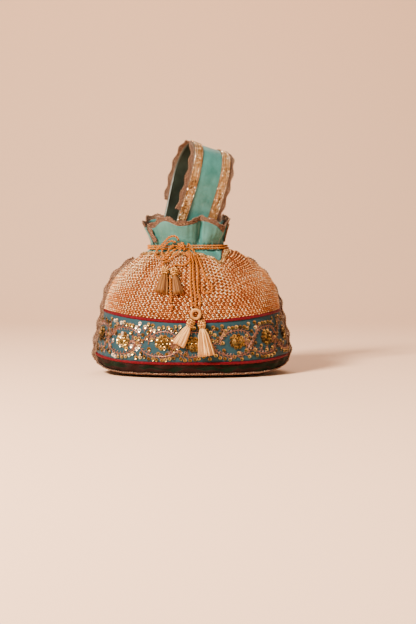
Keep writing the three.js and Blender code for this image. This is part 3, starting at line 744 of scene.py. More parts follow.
    # The near-white top stop is a painted glint, reached by sequins raised in tone by their place
    # on the band.
    colour = n.ramp(tone_of(n), (0.0, (0.030, 0.012, 0.005)), (0.3, (0.19, 0.110, 0.026)),
                    (0.7, (0.52, 0.350, 0.110)), (1.0, (1.0, 0.940, 0.800)))
    m["sequin_foil"] = n.finish(Base_Color=colour, Metallic=0.85, Roughness=0.24)

    n = Nodes("coil_wire")
    blotch = n.noise(500, 2)
    colour = n.ramp(blotch, (0.42, (0.055, 0.017, 0.010)), (0.64, (0.52, 0.250, 0.170)))
    m["coil_wire"] = n.finish(Base_Color=colour, Metallic=0.7, Roughness=0.36)

    n = Nodes("floor_paint")
    m["floor_paint"] = n.finish(Base_Color=WALL_COLOUR, Roughness=0.9)
    return m


MATERIALS = make_materials()

# ------------------------------------------------------------------------------ drawstrings

ROUTES = {
    "bow_loop_outer": [
        [-15.4, 158, 5.6], [-16.4, 161, 6], [-20.5, 163.4, 6.4], [-25.9, 162, 6.6],
        [-31.2, 157, 7], [-37, 150.9, 6.8], [-41.4, 145.6, 5.6], [-42.2, 141.4, 4.2],
        [-39.4, 138.3, 3], [-34.6, 136.6, 2.6], [-30.2, 137.2, 3], [-26.6, 140.6, 4.2],
        [-23, 144.9, 5.6], [-18.6, 147.9, 6.8],
    ],
    "bow_loop_inner": [
        [-18.3, 155.9, 5.2], [-23.4, 157.6, 5], [-27.8, 156, 5.6], [-32.2, 151.3, 6.8],
        [-34.6, 145.8, 5.4], [-33.8, 141.8, 4], [-30.2, 140.6, 3.8], [-27.6, 143.8, 4.8],
        [-25.8, 148, 5.6], [-20.8, 153.2, 6],
    ],
    "bow_loop_low": [
        [-11.8, 144.4, 6.4], [-8.2, 143.6, 6.4], [-4, 140.4, 5.6], [-1.8, 136.3, 4.6],
        [-4.4, 132.2, 3.2], [-8.9, 129.9, 2.4], [-14.2, 129.4, 2.4], [-18.6, 130.3, 3.4],
        [-20.2, 128.3, 4.6],
    ],
    "tassel_cord_left": [
        [-14.8, 145.8, 6.4], [-17, 143.8, 5.6], [-20.4, 140.8, 4.2], [-23.6, 137.4, 3.2],
        [-27.2, 134.6, 2.8], [-31, 133.2, 2.8], [-34, 131.2, 3.6], [-31.6, 128.8, 5.4],
    ],
    "tassel_cord_outer": [
        [-4.4, 154.6, 6], [-1, 150.6, 6.6], [1.6, 147.4, 6.2], [4.6, 143.2, 4.4], [8, 138.4, 2.6],
        [10.7, 131.4, 2.1], [13.4, 124.2, 2], [15.4, 118.4, 2], [17.4, 112.6, 2],
        [21.6, 108.8, 2.1], [24.2, 104, 2.2], [21.6, 99.2, 2], [15.8, 98.2, 2], [12.4, 102, 2],
        [13.4, 106.6, 2.1],
    ],
    "tassel_cord_middle": [
        [-3.6, 147.4, 6.8], [-0.4, 143.6, 5], [3.2, 139.2, 3], [5.8, 133, 2], [7.4, 125, 2],
        [7.6, 117, 2], [7.4, 108, 2], [8.2, 99, 2], [10.2, 90.5, 2], [9.8, 83.5, 2.4],
    ],
    "tassel_cord_inner": [
        [-5.4, 145.4, 8.6], [-1.8, 141.6, 8.1], [0.9, 136.4, 5], [1.9, 130, 2], [2.2, 122, 2],
        [2.6, 114, 2], [3.6, 106, 2], [4.4, 98, 2], [5, 90, 2], [5, 81.5, 2.4],
    ],
    "tassel_cord_hidden": [
        [-2.6, 139, 2], [-1.4, 133, 2], [-0.8, 126, 2], [-1, 118, 2], [-1, 110, 2],
        [-0.4, 102, 2], [0.4, 94, 2], [0.8, 88, 2.2], [1.2, 82.5, 2.4],
    ],
    "tassel_cord_short": [
        [-24.2, 117.4, 4.6], [-24, 111, 4.6], [-23.8, 105, 4.2], [-23.7, 99, 3.4],
        [-23.4, 93, 2.6], [-22.9, 86.9, 2.4],
    ],
}


def rope(build, path, radius=CORD_RADIUS, pitch=CORD_PITCH, plies=2, sides=6, closed=False,
         tone=1.0):
    """A cord of twisted plies round a path."""
    tangent, normal, side = frames(path, closed)
    run = run_length(path)
    length = run[-1] + (np.linalg.norm(path[0] - path[-1]) if closed else 0)
    turns = length / pitch
    if closed:
        turns = round(turns)
    turn = run / length * turns * 2 * math.pi
    out = radius * PLY_OUT
    # The core has tone 0, which the cord materials paint near-black: painted shade in the grooves
    # between the plies.
    build.tube(path, radius * 0.52, 5, closed, frame=(tangent, normal, side), tone=0.0)
    for ply in range(plies):
        phase = turn + ply * 2 * math.pi / plies
        away = normal * np.cos(phase)[:, None] + side * np.sin(phase)[:, None]
        build.tube(path + away * out, radius * PLY_RADIUS, sides, closed,
                   frame=(tangent, away, np.cross(tangent, away)), tone=tone)


def route_path(name, step=0.7):
    return spline([on_front(point) for point in ROUTES[name]], step)


def add_cords():
    """The drawstrings' loose ends, each a rope of its own. Gives the pieces by name."""
    made = {}
    for name in ROUTES:
        build = Build()
        rope(build, route_path(name))
        made[name] = build.object(f"{name}_rope", MATERIALS["twisted_cord"], replaces=[name],
                                  slot="cord")
    return made


def declare_cords(cords, end_knot):
    """Works out each cord's path in metres and does nothing more with it."""
    for name, piece in cords.items():
        path = route_path(name, 1.5) * MM


def add_neck_cords():
    angles = np.arange(-180, 180, 9.0)
    for name, level in NECK_CORD_LEVELS.items():
        outward = unit(cloth_normal(angles, level) * (1, 1, 0))
        ring = cloth(angles, level) + outward * (CORD_RADIUS + NECK_CORD_CLEARANCE)
        mean = (np.roll(ring, 1, axis=0) + np.roll(ring, -1, axis=0)) / 2
        outward = unit(ring * (1, 1, 0))
        extra = np.maximum(np.sum((mean - ring) * outward, axis=1), 0)
        ring = ring + outward * extra[:, None]
        ring[:, 2] = level
        build = Build()
        rope(build, spline(ring, 0.7, closed=True)[:-1], closed=True)
        build.object(f"{name}_rope", MATERIALS["twisted_cord"], replaces=[name], slot="cord")


def add_knot():
    """The bow's knot: two turns of cord bind a third that runs through them."""
    place = on_front(KNOT_PLACE)
    t = np.linspace(0, 2 * math.pi, 120, endpoint=False)
    build = Build()
    turns = ((-1.5, 2.6, 4.3, 0.5), (1.6, 2.9, 3.9, -0.4))
    for shift, deep, tall, lean in turns:
        path = place + stack(shift + lean * np.sin(t) * 2.4, -np.cos(t) * deep, np.sin(t) * tall)
        rope(build, resample(np.vstack([path, path[:1]]), 0.5)[:-1], closed=True)
    through = spline(place + np.array([(-4.6, 0.8, 3.6), (-2.6, -1.6, 1.6), (0.2, -2.6, -0.2),
                                       (3.0, -1.4, -1.8), (4.6, 1.0, -3.4)]), 0.5)
    rope(build, through)
    build.object("bow_knot_cord", MATERIALS["twisted_cord"], replaces=["bow_knot"], slot="cord")


def add_end_knot():
    """The overhand knot, with a frayed tip, in which the short cord ends."""
    place = on_front(END_KNOT_PLACE)
    t = np.linspace(0, 2 * math.pi, 60, endpoint=False)
    build = Build()
    for lean in (-0.7, 0.7):
        path = place + stack(np.cos(t) * 1.5, np.sin(t) * 1.5, lean * np.cos(t) + 0.5 * lean)
        rope(build, resample(np.vstack([path, path[:1]]), 0.4)[:-1], radius=END_KNOT_CORD,
             closed=True)
    for _ in range(22):
        spread = RANDOM.uniform(-1.3, 1.3)
        ends = place + np.array([(0, 0, -0.4), (spread * 0.5, 0, -2.2), (spread, 0, -4.4)])
        build.tube(ends, 0.2, 4, tone=RANDOM.uniform(0.4, 1))
    return build.object("tassel_cord_short_knot_cord", MATERIALS["twisted_cord"],
                        replaces=["tassel_cord_short_knot"], slot="cord")


def add_cord_ring():
    """The ring of pale cord that gathers the strands above the lower tassels."""
    place = on_front(CORD_RING["place"])
    radius = CORD_RING["radius"]
    t = np.linspace(0, 2 * math.pi, 90, endpoint=False)
    path = place + stack(np.cos(t) * radius, 0.5 * np.sin(2 * t), np.sin(t) * radius)
    build = Build()
    rope(build, path, CORD_RING["cord"], CORD_RING["pitch"], plies=3, closed=True)
    return build.object("ring_of_cord", MATERIALS["pale_cord"], replaces=["cord_ring"],
                        slot="cord")


# ------------------------------------------------------------------------------ tassels

# The upper tassels' low tone range is painted shade: they hang in shade, so their strands are
# coloured darker than the lower ones.
TASSELS = {
    "tassel_upper_left": {"head": (-30.5, 123.5, 6.2), "hem": (-34.5, 97.5, 5.2), "width": 8.2,
                          "tone": (0.0, 0.28)},
    "tassel_upper_right": {"head": (-19.6, 122, 6.2), "hem": (-14.8, 97, 5.2), "width": 6.4,
                           "tone": (0.0, 0.28)},
    "tassel_lower_left": {"head": (-0.6, 64, 6.4), "hem": (-15, 38.5, 5.4), "width": 8.2,
                          "tone": (0.3, 1.0)},
    "tassel_lower_right": {"head": (12, 63, 6.4), "hem": (17.8, 26, 5.4), "width": 10.4,
                           "tone": (0.35, 1.0)},
}
HEAD_HALF = 4.4
# Each row of beads on a head: how far down, the row's radius, its number of beads, their radius.
BEAD_ROWS = [(-3.6, 3.0, 8, 1.05), (-1.35, 3.95, 11, 1.2), (1.1, 3.95, 11, 1.2),
             (3.4, 3.1, 9, 1.1)]
# The core of a head: how far down each of its rings is, and the ring's radius.
CORE_DOWN = np.array([-4.3, -3.6, -1.6, 1.6, 3.8, 4.4])
CORE_RADII = np.array([0.8, 2.6, 3.5, 3.5, 2.6, 1.2])
SKIRT_FLAT = 0.42


def tassel_axes(head, hem):
    """A tassel's top, its length, and the directions across it, down it and out of the cloth."""
    top, bottom = on_front(head), on_front(hem)
    down = bottom - top
    length = np.linalg.norm(down)
    down = down / length
    width = unit(np.cross(down, unit(top - on_front((head[0], head[1], 0)))))
    return top, length, np.stack([width, down, np.cross(width, down)])


def add_tassel_head(name, tassel):
    """Rows of small gold beads stitched round a barrel core."""
    top, _, axes = tassel_axes(tassel["head"], tassel["hem"])
    build = Build()
    for row, (down, radius, count, size) in enumerate(BEAD_ROWS):
        turn = (np.arange(count) + 0.5 * (row % 2)) * 2 * math.pi / count
        places = stack(np.cos(turn) * radius, down, np.sin(turn) * radius) @ axes + top
        build.scatter(ball(5, 8), places, np.broadcast_to(np.eye(3) * size, (count, 3, 3)),
                      RANDOM.uniform(0.2, 1, count))
    # The core has tone 0, which the bead material paints dark brown: painted shade in the gaps
    # between the beads.
    line = top + CORE_DOWN[:, None] * axes[1]
    build.tube(line, CORE_RADII, 10,
               frame=(axes[1] + 0 * line, axes[0] + 0 * line, axes[2] + 0 * line), tone=0.0)
    head = f"{name}_head"
    return build.object(f"{head}_beads", MATERIALS["gold_bead"], replaces=[head],
                        slot="tassel_beads")


def add_tassel_skirt(name, tassel):
    """A fall of silk strands that spreads from the head to the hem."""
    top, length, axes = tassel_axes(tassel["head"], tassel["hem"])
    start, width = HEAD_HALF + 0.2, tassel["width"]
    t = np.linspace(0, 1, 9)
    spread = np.interp(t, [0, 0.25, 0.6, 0.93, 1], [0, 0.46, 0.76, 1, 0.97])
    build = Build()
    for _ in range(190):
        reach = math.sqrt(RANDOM.uniform(0.05, 1))
        turn = RANDOM.uniform(0, 2 * math.pi)
        out = reach * (2.4 + (width - 2.9) * spread)
        sway = RANDOM.uniform(-0.5, 0.5) * np.sin(t * RANDOM.uniform(3, 7) + RANDOM.uniform(0, 6))
        end = length - RANDOM.uniform(0, 1) ** 2 * 2.2 - 0.4
        places = stack(out * math.cos(turn) + sway * t, start + (end - start) * t,
                       out * math.sin(turn) * (1 - (1 - SKIRT_FLAT) * t ** 0.5) + sway * 0.4)
        build.tube(places @ axes + top, 0.40, 4, tone=RANDOM.uniform(*tassel["tone"]))
    skirt = f"{name}_skirt"
    return build.object(f"{skirt}_strands", MATERIALS["tassel_silk"], replaces=[skirt],
                        slot="tassel_silk")


# ------------------------------------------------------------------------------ the two panels


def grid_uv(grid):
    """Distances in mm across and up a grid, which cloth patterns are measured in."""
    rows, columns = grid.shape[:2]
    return np.stack(np.meshgrid(run_length(grid[rows // 2]), run_length(grid[:, columns // 2])),
                    axis=-1)


def panel_places(side, shares, heights, low, top_at=None):
    """Angles and levels over a grid of shares across and heights (0 to 1) up a strip."""
    share, height = np.meshgrid(shares, heights)
    top = LEVEL_WEAVE_TOP if top_at is None else top_at
    straight = top if np.isscalar(top) else LEVEL_WEAVE_TOP
    angle = panel_angle(side, share, low + height * (straight - low))
    if not np.isscalar(top):
        straight = top(angle)
    return angle, low + height * (straight - low)


def add_cloth(name, side, low, top_at, rows, columns, thickness, material, slot):
    """One strip of a panel, with its thickness, between a low level and a top."""
    angle, level = panel_places(side, np.linspace(0, 1, columns), np.linspace(0, 1, rows), low,
                                top_at)
    outer = folded(angle, level)
    return sheet_object(f"{name}_cloth", outer, offset_grid(outer, -thickness),
                        MATERIALS[material], grid_uv(outer), replaces=[name], slot=slot)


FLOATS = {"columns": 128, "row_pitch": 2.35, "half_width": 0.68, "height": 0.85}


def add_weave_floats(side):
    """The raised floats of the weave: every row leans the other way, so they climb in zigzags."""
    low = LEVEL_UPPER_PIPING + 2.4
    heights = (arc_levels(low, LEVEL_WEAVE_TOP, FLOATS["row_pitch"])[:-1] - low) / (
        LEVEL_WEAVE_TOP - low) + 0.006
    count = FLOATS["columns"]
    shares = (np.arange(count) + 0.5) / count
    angle, level = panel_places(side, shares, heights, low, weave_top)
    angle[1::2] += 0.62 * (angle[0, 1] - angle[0, 0])
    place = folded(angle, level)
    across = folded(angle + 0.4, level) - folded(angle - 0.4, level)
    up = unit(folded(angle, level + 0.4) - folded(angle, level - 0.4))
    normal = unit(np.cross(across, up))
    across = unit(across)
    cell = np.linalg.norm(np.gradient(place, axis=1), axis=-1, keepdims=True)
    light = (np.arange(count) % 2 == 0)[None, :]
    slant = np.where(np.arange(len(heights)) % 2 == 0, 1.0, -1.0)[:, None, None]
    size = 1 + 0.09 * RANDOM.standard_normal(place.shape[:2])[..., None]
    along = (across * cell * 0.55 + up * slant * FLOATS["row_pitch"] * 0.36) * size
    width = FLOATS["half_width"] * (cell / 2.3) ** 0.7 * np.where(light, 1.0, 0.78)[..., None]
    side_way = unit(np.cross(normal, along)) * width
    height = FLOATS["height"] * np.where(light, 1.0, 0.7)[..., None]
    axes = np.stack([along, side_way, normal * height], axis=-2).reshape(-1, 3, 3)
    wander = ripples(angle / 7, level / 9, 6, 0.8, 2.2, 8 if side == "front" else 9)
    # Painted light and shade: the floats are made paler on the upper left shoulder, where the key
    # light falls, and darker to the right of the front.
    painted_light_and_shade = (0.22 * bump(angle, -138, 26) * smoothstep(level, 90, 125)
             - 0.12 * smoothstep(angle, -85, -45))
    tones = np.where(light, 0.78, 0.18) + painted_light_and_shade + 0.10 * wander
    tones = np.clip(tones + 0.16 * RANDOM.standard_normal(wander.shape), 0, 1)
    build = Build()
    build.scatter(ball(3, 6), (place + normal * 0.12).reshape(-1, 3), axes, tones.ravel())
    build.object(f"weave_floats_{side}", MATERIALS["zari_float"], slot="weave")


def add_piping(name, level, side):
    """A padded satin piping that puckers a little along its seam."""
    angle = panel_angle(side, np.linspace(0, 1, 300), level, 1.2)
    path = resample(cloth(angle, level), 0.9)
    run = run_length(path)
    radius = PIPING_RADIUS * (1 + 0.05 * np.sin(run / 1.7) + 0.04 * np.sin(run / 0.83 + 1))
    build = Build()
    build.tube(path, radius, 12)
    build.object(f"{name}_satin", MATERIALS["piping_satin"], replaces=[name], slot="piping")


def add_back_base():
    """The back's brocade goes down the wall and under the bag to the front's bottom seam."""
    shares = np.linspace(0, 1, 160)
    high = LEVEL_LOWER_PIPING - PIPING_CLEARANCE
    wall = np.linspace(high, 0, 14)
    back = np.stack([cloth(panel_angle("back", shares, level), level) for level in wall])
    front = np.stack([cloth(panel_angle("front", shares, level)[::-1], level)
                      for level in (0, 1.2, LEVEL_SEAM - 0.75)])
    along = np.linspace(0, 1, 8)[1:-1, None, None]
    floor = back[-1] + (front[0] - back[-1]) * along
    outer = np.concatenate([back, floor, front])[::-1]
    sheet_object("base_panel_back_cloth", outer, offset_grid(outer, -1.3), MATERIALS["brocade"],
                 grid_uv(outer), replaces=["base_panel_back"], slot="brocade")


def add_panels(side):
    low_high = LEVEL_LOWER_PIPING + PIPING_CLEARANCE
    add_cloth(f"weave_panel_{side}", side, LEVEL_UPPER_PIPING + PIPING_CLEARANCE, weave_top, 40,
              160, 1.3, "zari_ground", "weave")
    add_weave_floats(side)
    add_cloth(f"embroidered_band_{side}", side, low_high, LEVEL_UPPER_PIPING - PIPING_CLEARANCE,
              24, 150, 1.3, "raw_silk", "band_cloth")
    add_piping(f"upper_piping_{side}", LEVEL_UPPER_PIPING, side)
    add_piping(f"lower_piping_{side}", LEVEL_LOWER_PIPING, side)


# ------------------------------------------------------------------------------ embroidery

# Each flower: how far it lies along the band from the middle, and its height.
FLOWERS = [(-127, 41), (-83, 40), (-32.6, 41), (2.3, 39.5), (53.5, 41), (94, 41.5), (134, 41)]
SEQUIN_RADIUS = 2.25
BAND_MIDDLE = (LEVEL_LOWER_PIPING + LEVEL_UPPER_PIPING) / 2
# The levels between which wire and whole sequins keep clear of both pipings.
WIRE_LEVELS = (20, 61.6)
SEQUIN_LEVELS = (20.6, 61.2)


def sequin():
    """A cupped disc, 1 in radius, with a dimple at its middle."""
    turn = np.arange(9) * 2 * math.pi / 9
    rim = stack(np.cos(turn), np.sin(turn), 0.30)
    inner = stack(np.cos(turn) * 0.45, np.sin(turn) * 0.45, 0.08)
    vertices = np.concatenate([rim, inner, [[0, 0, 0]]])
    index = np.arange(9)
    nxt = (index + 1) % 9
    ring = np.stack([index, nxt, nxt + 9, index + 9], axis=1)
    middle = np.stack([index + 9, nxt + 9, np.full(9, 18)], axis=1)
    return vertices, [ring, middle]


class Embroidery:
    """Draws on the band: s is the distance along it from its middle and h the level."""

    def __init__(self, side):
        self.middle = -90 if side == "front" else 90
        self.angles = np.linspace(self.middle - 92, self.middle + 96, 800)
        run = run_length(folded(self.angles, np.full(800, BAND_MIDDLE)))
        self.run = run - np.interp(self.middle, self.angles, run)
        self.low = np.interp(panel_angle(side, 0.01, BAND_MIDDLE), self.angles, self.run) + 1
        self.high = np.interp(panel_angle(side, 0.99, BAND_MIDDLE), self.angles, self.run) - 1
        self.wire = Build()
        self.sequins = []

    def place(self, s, h, off):
        return lifted(np.interp(s, self.run, self.angles), h, off, folded)

    def stitch(self, line, radius=0.50, step=0.6):
        """A length of coiled wire along a line of s and h."""
        line = np.asarray(line, float)
        line = line[(line[:, 1] > WIRE_LEVELS[0]) & (line[:, 1] < WIRE_LEVELS[1])]
        if len(line) < 2:
            return
        inside = (line[:, 0] > self.low) & (line[:, 0] < self.high)
        if inside.sum() < 2:
            return
        flat = np.column_stack([line[inside], np.zeros(inside.sum())])
        flat = resample(flat, step)
        ridges = radius * np.where(np.arange(len(flat)) % 2 == 0, 1.12, 0.82)
        points = self.place(flat[:, 0], flat[:, 1], 0.42)
        self.wire.tube(points, ridges, 5)

    def sequin(self, s, h, radius=SEQUIN_RADIUS, lift=0.5, tilt=0.16, apart=3.7):
        """A sequin, unless it would leave the band or lie on another of the same layer."""
        near = [old for old in self.sequins if abs(old[3] - lift) < 0.2
                and math.hypot(old[0] - s, old[1] - h) < apart]
        inside = (self.low + radius < s < self.high - radius
                  and SEQUIN_LEVELS[0] < h < SEQUIN_LEVELS[1])
        if near or not inside:
            return
        # Painted glints: sequins in the left cluster and along the top row get a raised tone,
        # which the foil paints near white.
        painted_glint = 0.42 * (-102 < s < -58) + 0.22 * (h > 52) * (s < 0 or s > 40)
        tone = RANDOM.choice([0.15, 0.25, 0.4, 0.55]) + painted_glint * RANDOM.uniform(0, 1.6)
        tone = np.clip(tone, 0, 1)
        self.sequins.append((s, h, radius, lift, *(RANDOM.uniform(-tilt, tilt, 2)), tone))

    def sprig(self, base, direction, length, bend, tipped=True):
        """A short curved stem that ends in a sequin."""
        direction = direction / np.linalg.norm(direction)
        sideways = np.array([-direction[1], direction[0]])
        t = np.linspace(0, 1, 8)[:, None]
        line = base + direction * length * t + sideways * bend * t ** 2
        end = line[-1] + direction * SEQUIN_RADIUS * 0.8
        self.stitch(line, 0.56)
        if tipped:
            self.sequin(*end)

    def flower(self, s, h):
        """Overlapping sequins in three rings."""
        for count, out, radius in ((10, 7.2, 2.6), (6, 3.7, 2.6), (1, 0, 2.3)):
            for k in range(count):
                around = 2 * math.pi * (k + RANDOM.uniform(-0.12, 0.12)) / count
                self.sequin(s + out * math.cos(around), h + out * 0.92 * math.sin(around), radius,
                            0.5 + 0.35 * (count < 10) + 0.3 * (count == 1), 0.26, 2.4)

    def arch(self, start, end, peak, way, curl):
        """A stem that rises over one flower, or dips under it, and curls back at its end."""
        middle, half = (start[0] + end[0]) / 2, (end[0] - start[0]) / 2
        t = np.linspace(0, 1, 40)
        s = middle - half * np.cos(math.pi * t)
        h = start[1] + (end[1] - start[1]) * t + (peak - BAND_MIDDLE) * np.sin(math.pi * t) ** 0.8
        turn = np.linspace(0, 1.25 * math.pi, 16)[1:]
        tail = np.column_stack([s[-1] - curl * (1 - np.cos(turn)) * 0.9,
                                h[-1] - way * curl * np.sin(turn)])
        line = np.vstack([np.column_stack([s, h]), tail])
        self.stitch(line, 0.70)
        tangent = np.gradient(line, axis=0)
        length = run_length(line)
        for out in np.arange(3.0, length[-1] - 1, 4.4):
            i = int(np.searchsorted(length, out))
            forward = tangent[i] / np.linalg.norm(tangent[i])
            across = np.array([-forward[1], forward[0]]) * way
            self.sprig(line[i], across + 0.75 * forward, RANDOM.uniform(2.6, 4.4), -0.9 * way)
            self.sprig(line[i], 0.2 * forward - across, 3.0, 0.5 * way, False)

    def scrolls(self):
        """Arches pass over and under each flower, and stems cross between two flowers."""
        for s, h in FLOWERS:
            self.flower(s, h)
        for (s0, _), (s1, _) in zip(FLOWERS, FLOWERS[1:]):
            half = (s1 - s0) / 2
            middle = s0 + half
            self.arch((s0 - half * 0.98, 38), (s0 + half * 0.84, 43), 53.5, 1, half * 0.20)
            self.arch((middle - half * 0.1, 40), (s1 + half * 0.7, 37), 27.5, -1, half * 0.16)
            self.arch((middle - half * 0.42, 27), (middle + half * 0.46, 55), 41.5, 1, 1.2)

    def fill(self):
        """Sprigs fill the ground along both pipings wherever there is still room."""
        for _ in range(1200):
            at = np.array([RANDOM.uniform(self.low + 4, self.high - 4), RANDOM.uniform(24, 57)])
            clear = min(np.hypot(at[0] - s, at[1] - h) for s, h in FLOWERS) > 12.5
            before = len(self.sequins)
            if clear:
                self.sequin(*at, apart=6.2)
            if len(self.sequins) > before:
                turn = RANDOM.uniform(0, 2 * math.pi)
                away = np.array([math.cos(turn), math.sin(turn)])
                side = np.array([-away[1], away[0]])
                self.stitch([at + away * 1.8, at + away * 3.6 + side * 0.5,
                             at + away * 5.4 + side * 1.8], 0.56)
                for way in (-1, 1):
                    self.stitch([at + away * 3.4, at + away * 2.9 + side * way * 1.5,
                                 at + away * 1.7 + side * way * 2.6], 0.5)
        for h, way in ((58.8, 1), (23.0, -1)):
            for s in np.arange(self.low + 3, self.high - 3, 5.6):
                at = np.array([s + RANDOM.uniform(-0.6, 0.6), h + RANDOM.uniform(-0.7, 0.7)])
                before = len(self.sequins)
                self.sequin(*at, apart=4.3)
                if len(self.sequins) > before:
                    self.stitch([at + (-1.2, -way * 5.2), at + (-0.9, -way * 3.6),
                                 at + (-0.2, -way * 2.2)], 0.56)

    def finish(self, side):
        rows = np.array(self.sequins)
        s, h, radius, lift, tilt_s, tilt_h, tone = rows.T
        place = self.place(s, h, lift)
        across = unit(self.place(s + 0.5, h, 0.0) - self.place(s - 0.5, h, 0.0))
        up = unit(self.place(s, h + 0.5, 0.0) - self.place(s, h - 0.5, 0.0))
        normal = unit(np.cross(across, up) + across * tilt_s[:, None] + up * tilt_h[:, None])
        across = unit(np.cross(up, normal))
        axes = np.stack([across, np.cross(normal, across), normal], axis=1)
        build = Build()
        build.scatter(sequin(), place, axes * radius[:, None, None], tone)
        beads = np.broadcast_to(np.eye(3) * 0.72, (len(rows), 3, 3))
        build.scatter(ball(3, 5), place + normal * 0.3, beads, 0.0)
        build.object(f"sequins_{side}", MATERIALS["sequin_foil"], slot="sequins")
        self.wire.object(f"coil_embroidery_{side}", MATERIALS["coil_wire"], slot="coil_wire")


def add_embroidery(side):
    work = Embroidery(side)
    work.scrolls()
    work.fill()
    work.finish(side)


# ------------------------------------------------------------------------------ lace and braid


class Strip:
    """A ribbon in space: at(run, height, off) is the point so far along, across and out of it."""

    def __init__(self, middle, across, face):
        self.run = run_length(middle)
        self.columns = np.concatenate([middle, across, face], axis=1)
        self.length = self.run[-1]

    def at(self, run, height, off):
        found = np.stack([np.interp(run, self.run, column) for column in self.columns.T], axis=-1)
        middle, across, face = found[..., :3], found[..., 3:6], found[..., 6:]
        height, off = (np.asarray(v, float)[..., None] for v in (height, off))
        return middle + unit(across) * height + unit(face) * off


def yarn(build, strip, run, height, radius, off=0.0, sides=5, tone=0.5):
    build.tube(strip.at(run, height, off), radius, sides, tone=tone)


def crochet(build, strip, reach, start=0.0, foot=0.35):
    """Crochet lace: a straight header, rows of close stitches, then a scalloped edge of picots."""
    run = np.arange(start + 0.3, strip.length - 0.3, 0.9)
    edge = reach(run)
    wave = 0.26 * np.sin(run * 2 * math.pi / 1.8)
    for height, radius in ((foot, 0.55), (foot + 1.15, 0.46), (foot + 2.3, 0.55)):
        yarn(build, strip, run, height + 0 * run, radius, wave)
    yarn(build, strip, run, np.maximum(edge - 1.5, foot + 2.8), 0.50, -wave)
    yarn(build, strip, run, edge - 0.25, 0.58, wave)
    comb = np.arange(start + 0.4, strip.length - 0.4, 0.6)
    tooth = np.abs(np.mod(comb / 1.9, 1) * 2 - 1)
    yarn(build, strip, comb, foot + 0.1 + 2.2 * tooth, 0.40, 0.12, 4)
    low = foot + 2.3
    for pitch, off in ((3.0, 0.05), (2.1, -0.15)):
        fan = np.abs(np.mod(comb / pitch, 1) * 2 - 1)
        yarn(build, strip, comb, low + (reach(comb) - 0.5 - low) * fan, 0.40, off, 4)
    picots = np.arange(start + 1.5, strip.length - 1.0, 3.0)
    places = strip.at(picots, reach(picots) + 0.2, 0.0 * picots)
    build.scatter(ball(4, 6), places, np.broadcast_to(np.eye(3) * 1.0, (len(picots), 3, 3)), 0.7)


def scalloped(middle, depth, period=LACE_PERIOD):
    return lambda run: middle - depth * np.cos(2 * math.pi * np.asarray(run) / period)


def add_seam_lace():
    levels = np.linspace(134.5, 4.6, 150)
    bottom = np.linspace(SEAM_LEFT, 3, 280)[1:-1]
    angle = np.concatenate([np.full(150, SEAM_LEFT), bottom, seam_right(levels[::-1])])
    level = np.concatenate([levels, np.full(278, LEVEL_SEAM), levels[::-1]])
    normal = cloth_normal(angle, level)
    flat = unit(normal * (1, 1, 0))
    flat[:, 2] = 0.45
    low = smoothstep(30 - level, 0, 20)[:, None]
    out = unit(normal * (1 - low) + unit(flat) * low)
    middle = cloth(angle, level)
    along = unit(np.gradient(middle, axis=0))
    strip = Strip(middle + out * 0.25, out, np.cross(along, out))
    corners = strip.run[149], strip.run[427]
    build = Build()
    crochet(build, strip, lambda run: scalloped(5.0, 1.0)(run) - 1.6 * smoothstep(
        run, corners[0], corners[0] + 25) * (1 - smoothstep(run, corners[1] - 25, corners[1])))
    build.object("seam_lace_crochet", MATERIALS["crochet_yarn"], replaces=["seam_lace"],
                 slot="crochet_lace")


def braid(build, beads, strip, width, outer=True):
    """Gold braid between heights 0 and width: beads, then chevrons, then a twisted edge."""
    first = 0.9 if outer else 0.6
    chevron_low = 3.0 if outer else 1.3
    chevron_high = width - (2.4 if outer else 1.3)
    pitch, half = 1.75, (chevron_high - chevron_low) / 4
    at = np.arange(1.0, strip.length - 1.0, pitch)
    for way, height in ((1, chevron_low + half), (-1, chevron_high - half)):
        place = strip.at(at, height + 0 * at, 0.25 + 0 * at)
        tip = strip.at(at + way * 0.8, height + half + 0 * at, 0.25 + 0 * at)
        out = unit(strip.at(at, height + 0 * at, 1.0 + 0 * at) - place)
        along = (tip - place) * 1.08
        axes = np.stack([along, unit(np.cross(out, along)) * 0.72, out * 0.5], axis=1)
        build.scatter(ball(3, 6), place, axes, np.clip(RANDOM.normal(0.42, 0.3, len(at)), 0, 1))
    run = np.arange(0.5, strip.length - 0.5, 0.7)
    for height in (chevron_low - 0.5, (chevron_low + chevron_high) / 2, chevron_high + 0.5):
        wave = 0.18 * np.sin(run * 2 * math.pi / 1.4)
        yarn(build, strip, run, height + wave, 0.42, 0.3, 5, 0.35)
    rows = [(first, 2.9, 1.15), (first + 2.1, 3.7, 0.9), (width - 3.0, 3.3, 0.9)] if outer else []
    rows.append((width - 0.8, 3.3, 0.85))
    for height, spacing, size in rows:
        at = np.arange(2.0, strip.length - 2.0, spacing)
        place = strip.at(at, height + 0 * at, 0.35 + 0 * at)
        beads.scatter(ball(4, 6), place, np.broadcast_to(np.eye(3) * size, (len(at), 3, 3)),
                      RANDOM.uniform(0, 1, len(at)) ** 1.5)
        between = at[:-1] + spacing / 2
        place = strip.at(between, height + 0 * between, 0.2 + 0 * between)
        build.scatter(ball(3, 6), place,
                      np.broadcast_to(np.eye(3) * size * 0.6, (len(between), 3, 3)), 0.3)


def strip_sheet(strip, heights, offs, step=2.0):
    """Outer and inner grids of a flat ribbon between two heights and two offsets."""
    run, height = np.meshgrid(np.arange(0, strip.length, step), heights)
    return strip.at(run, height, offs[1]), strip.at(run, height, offs[0])


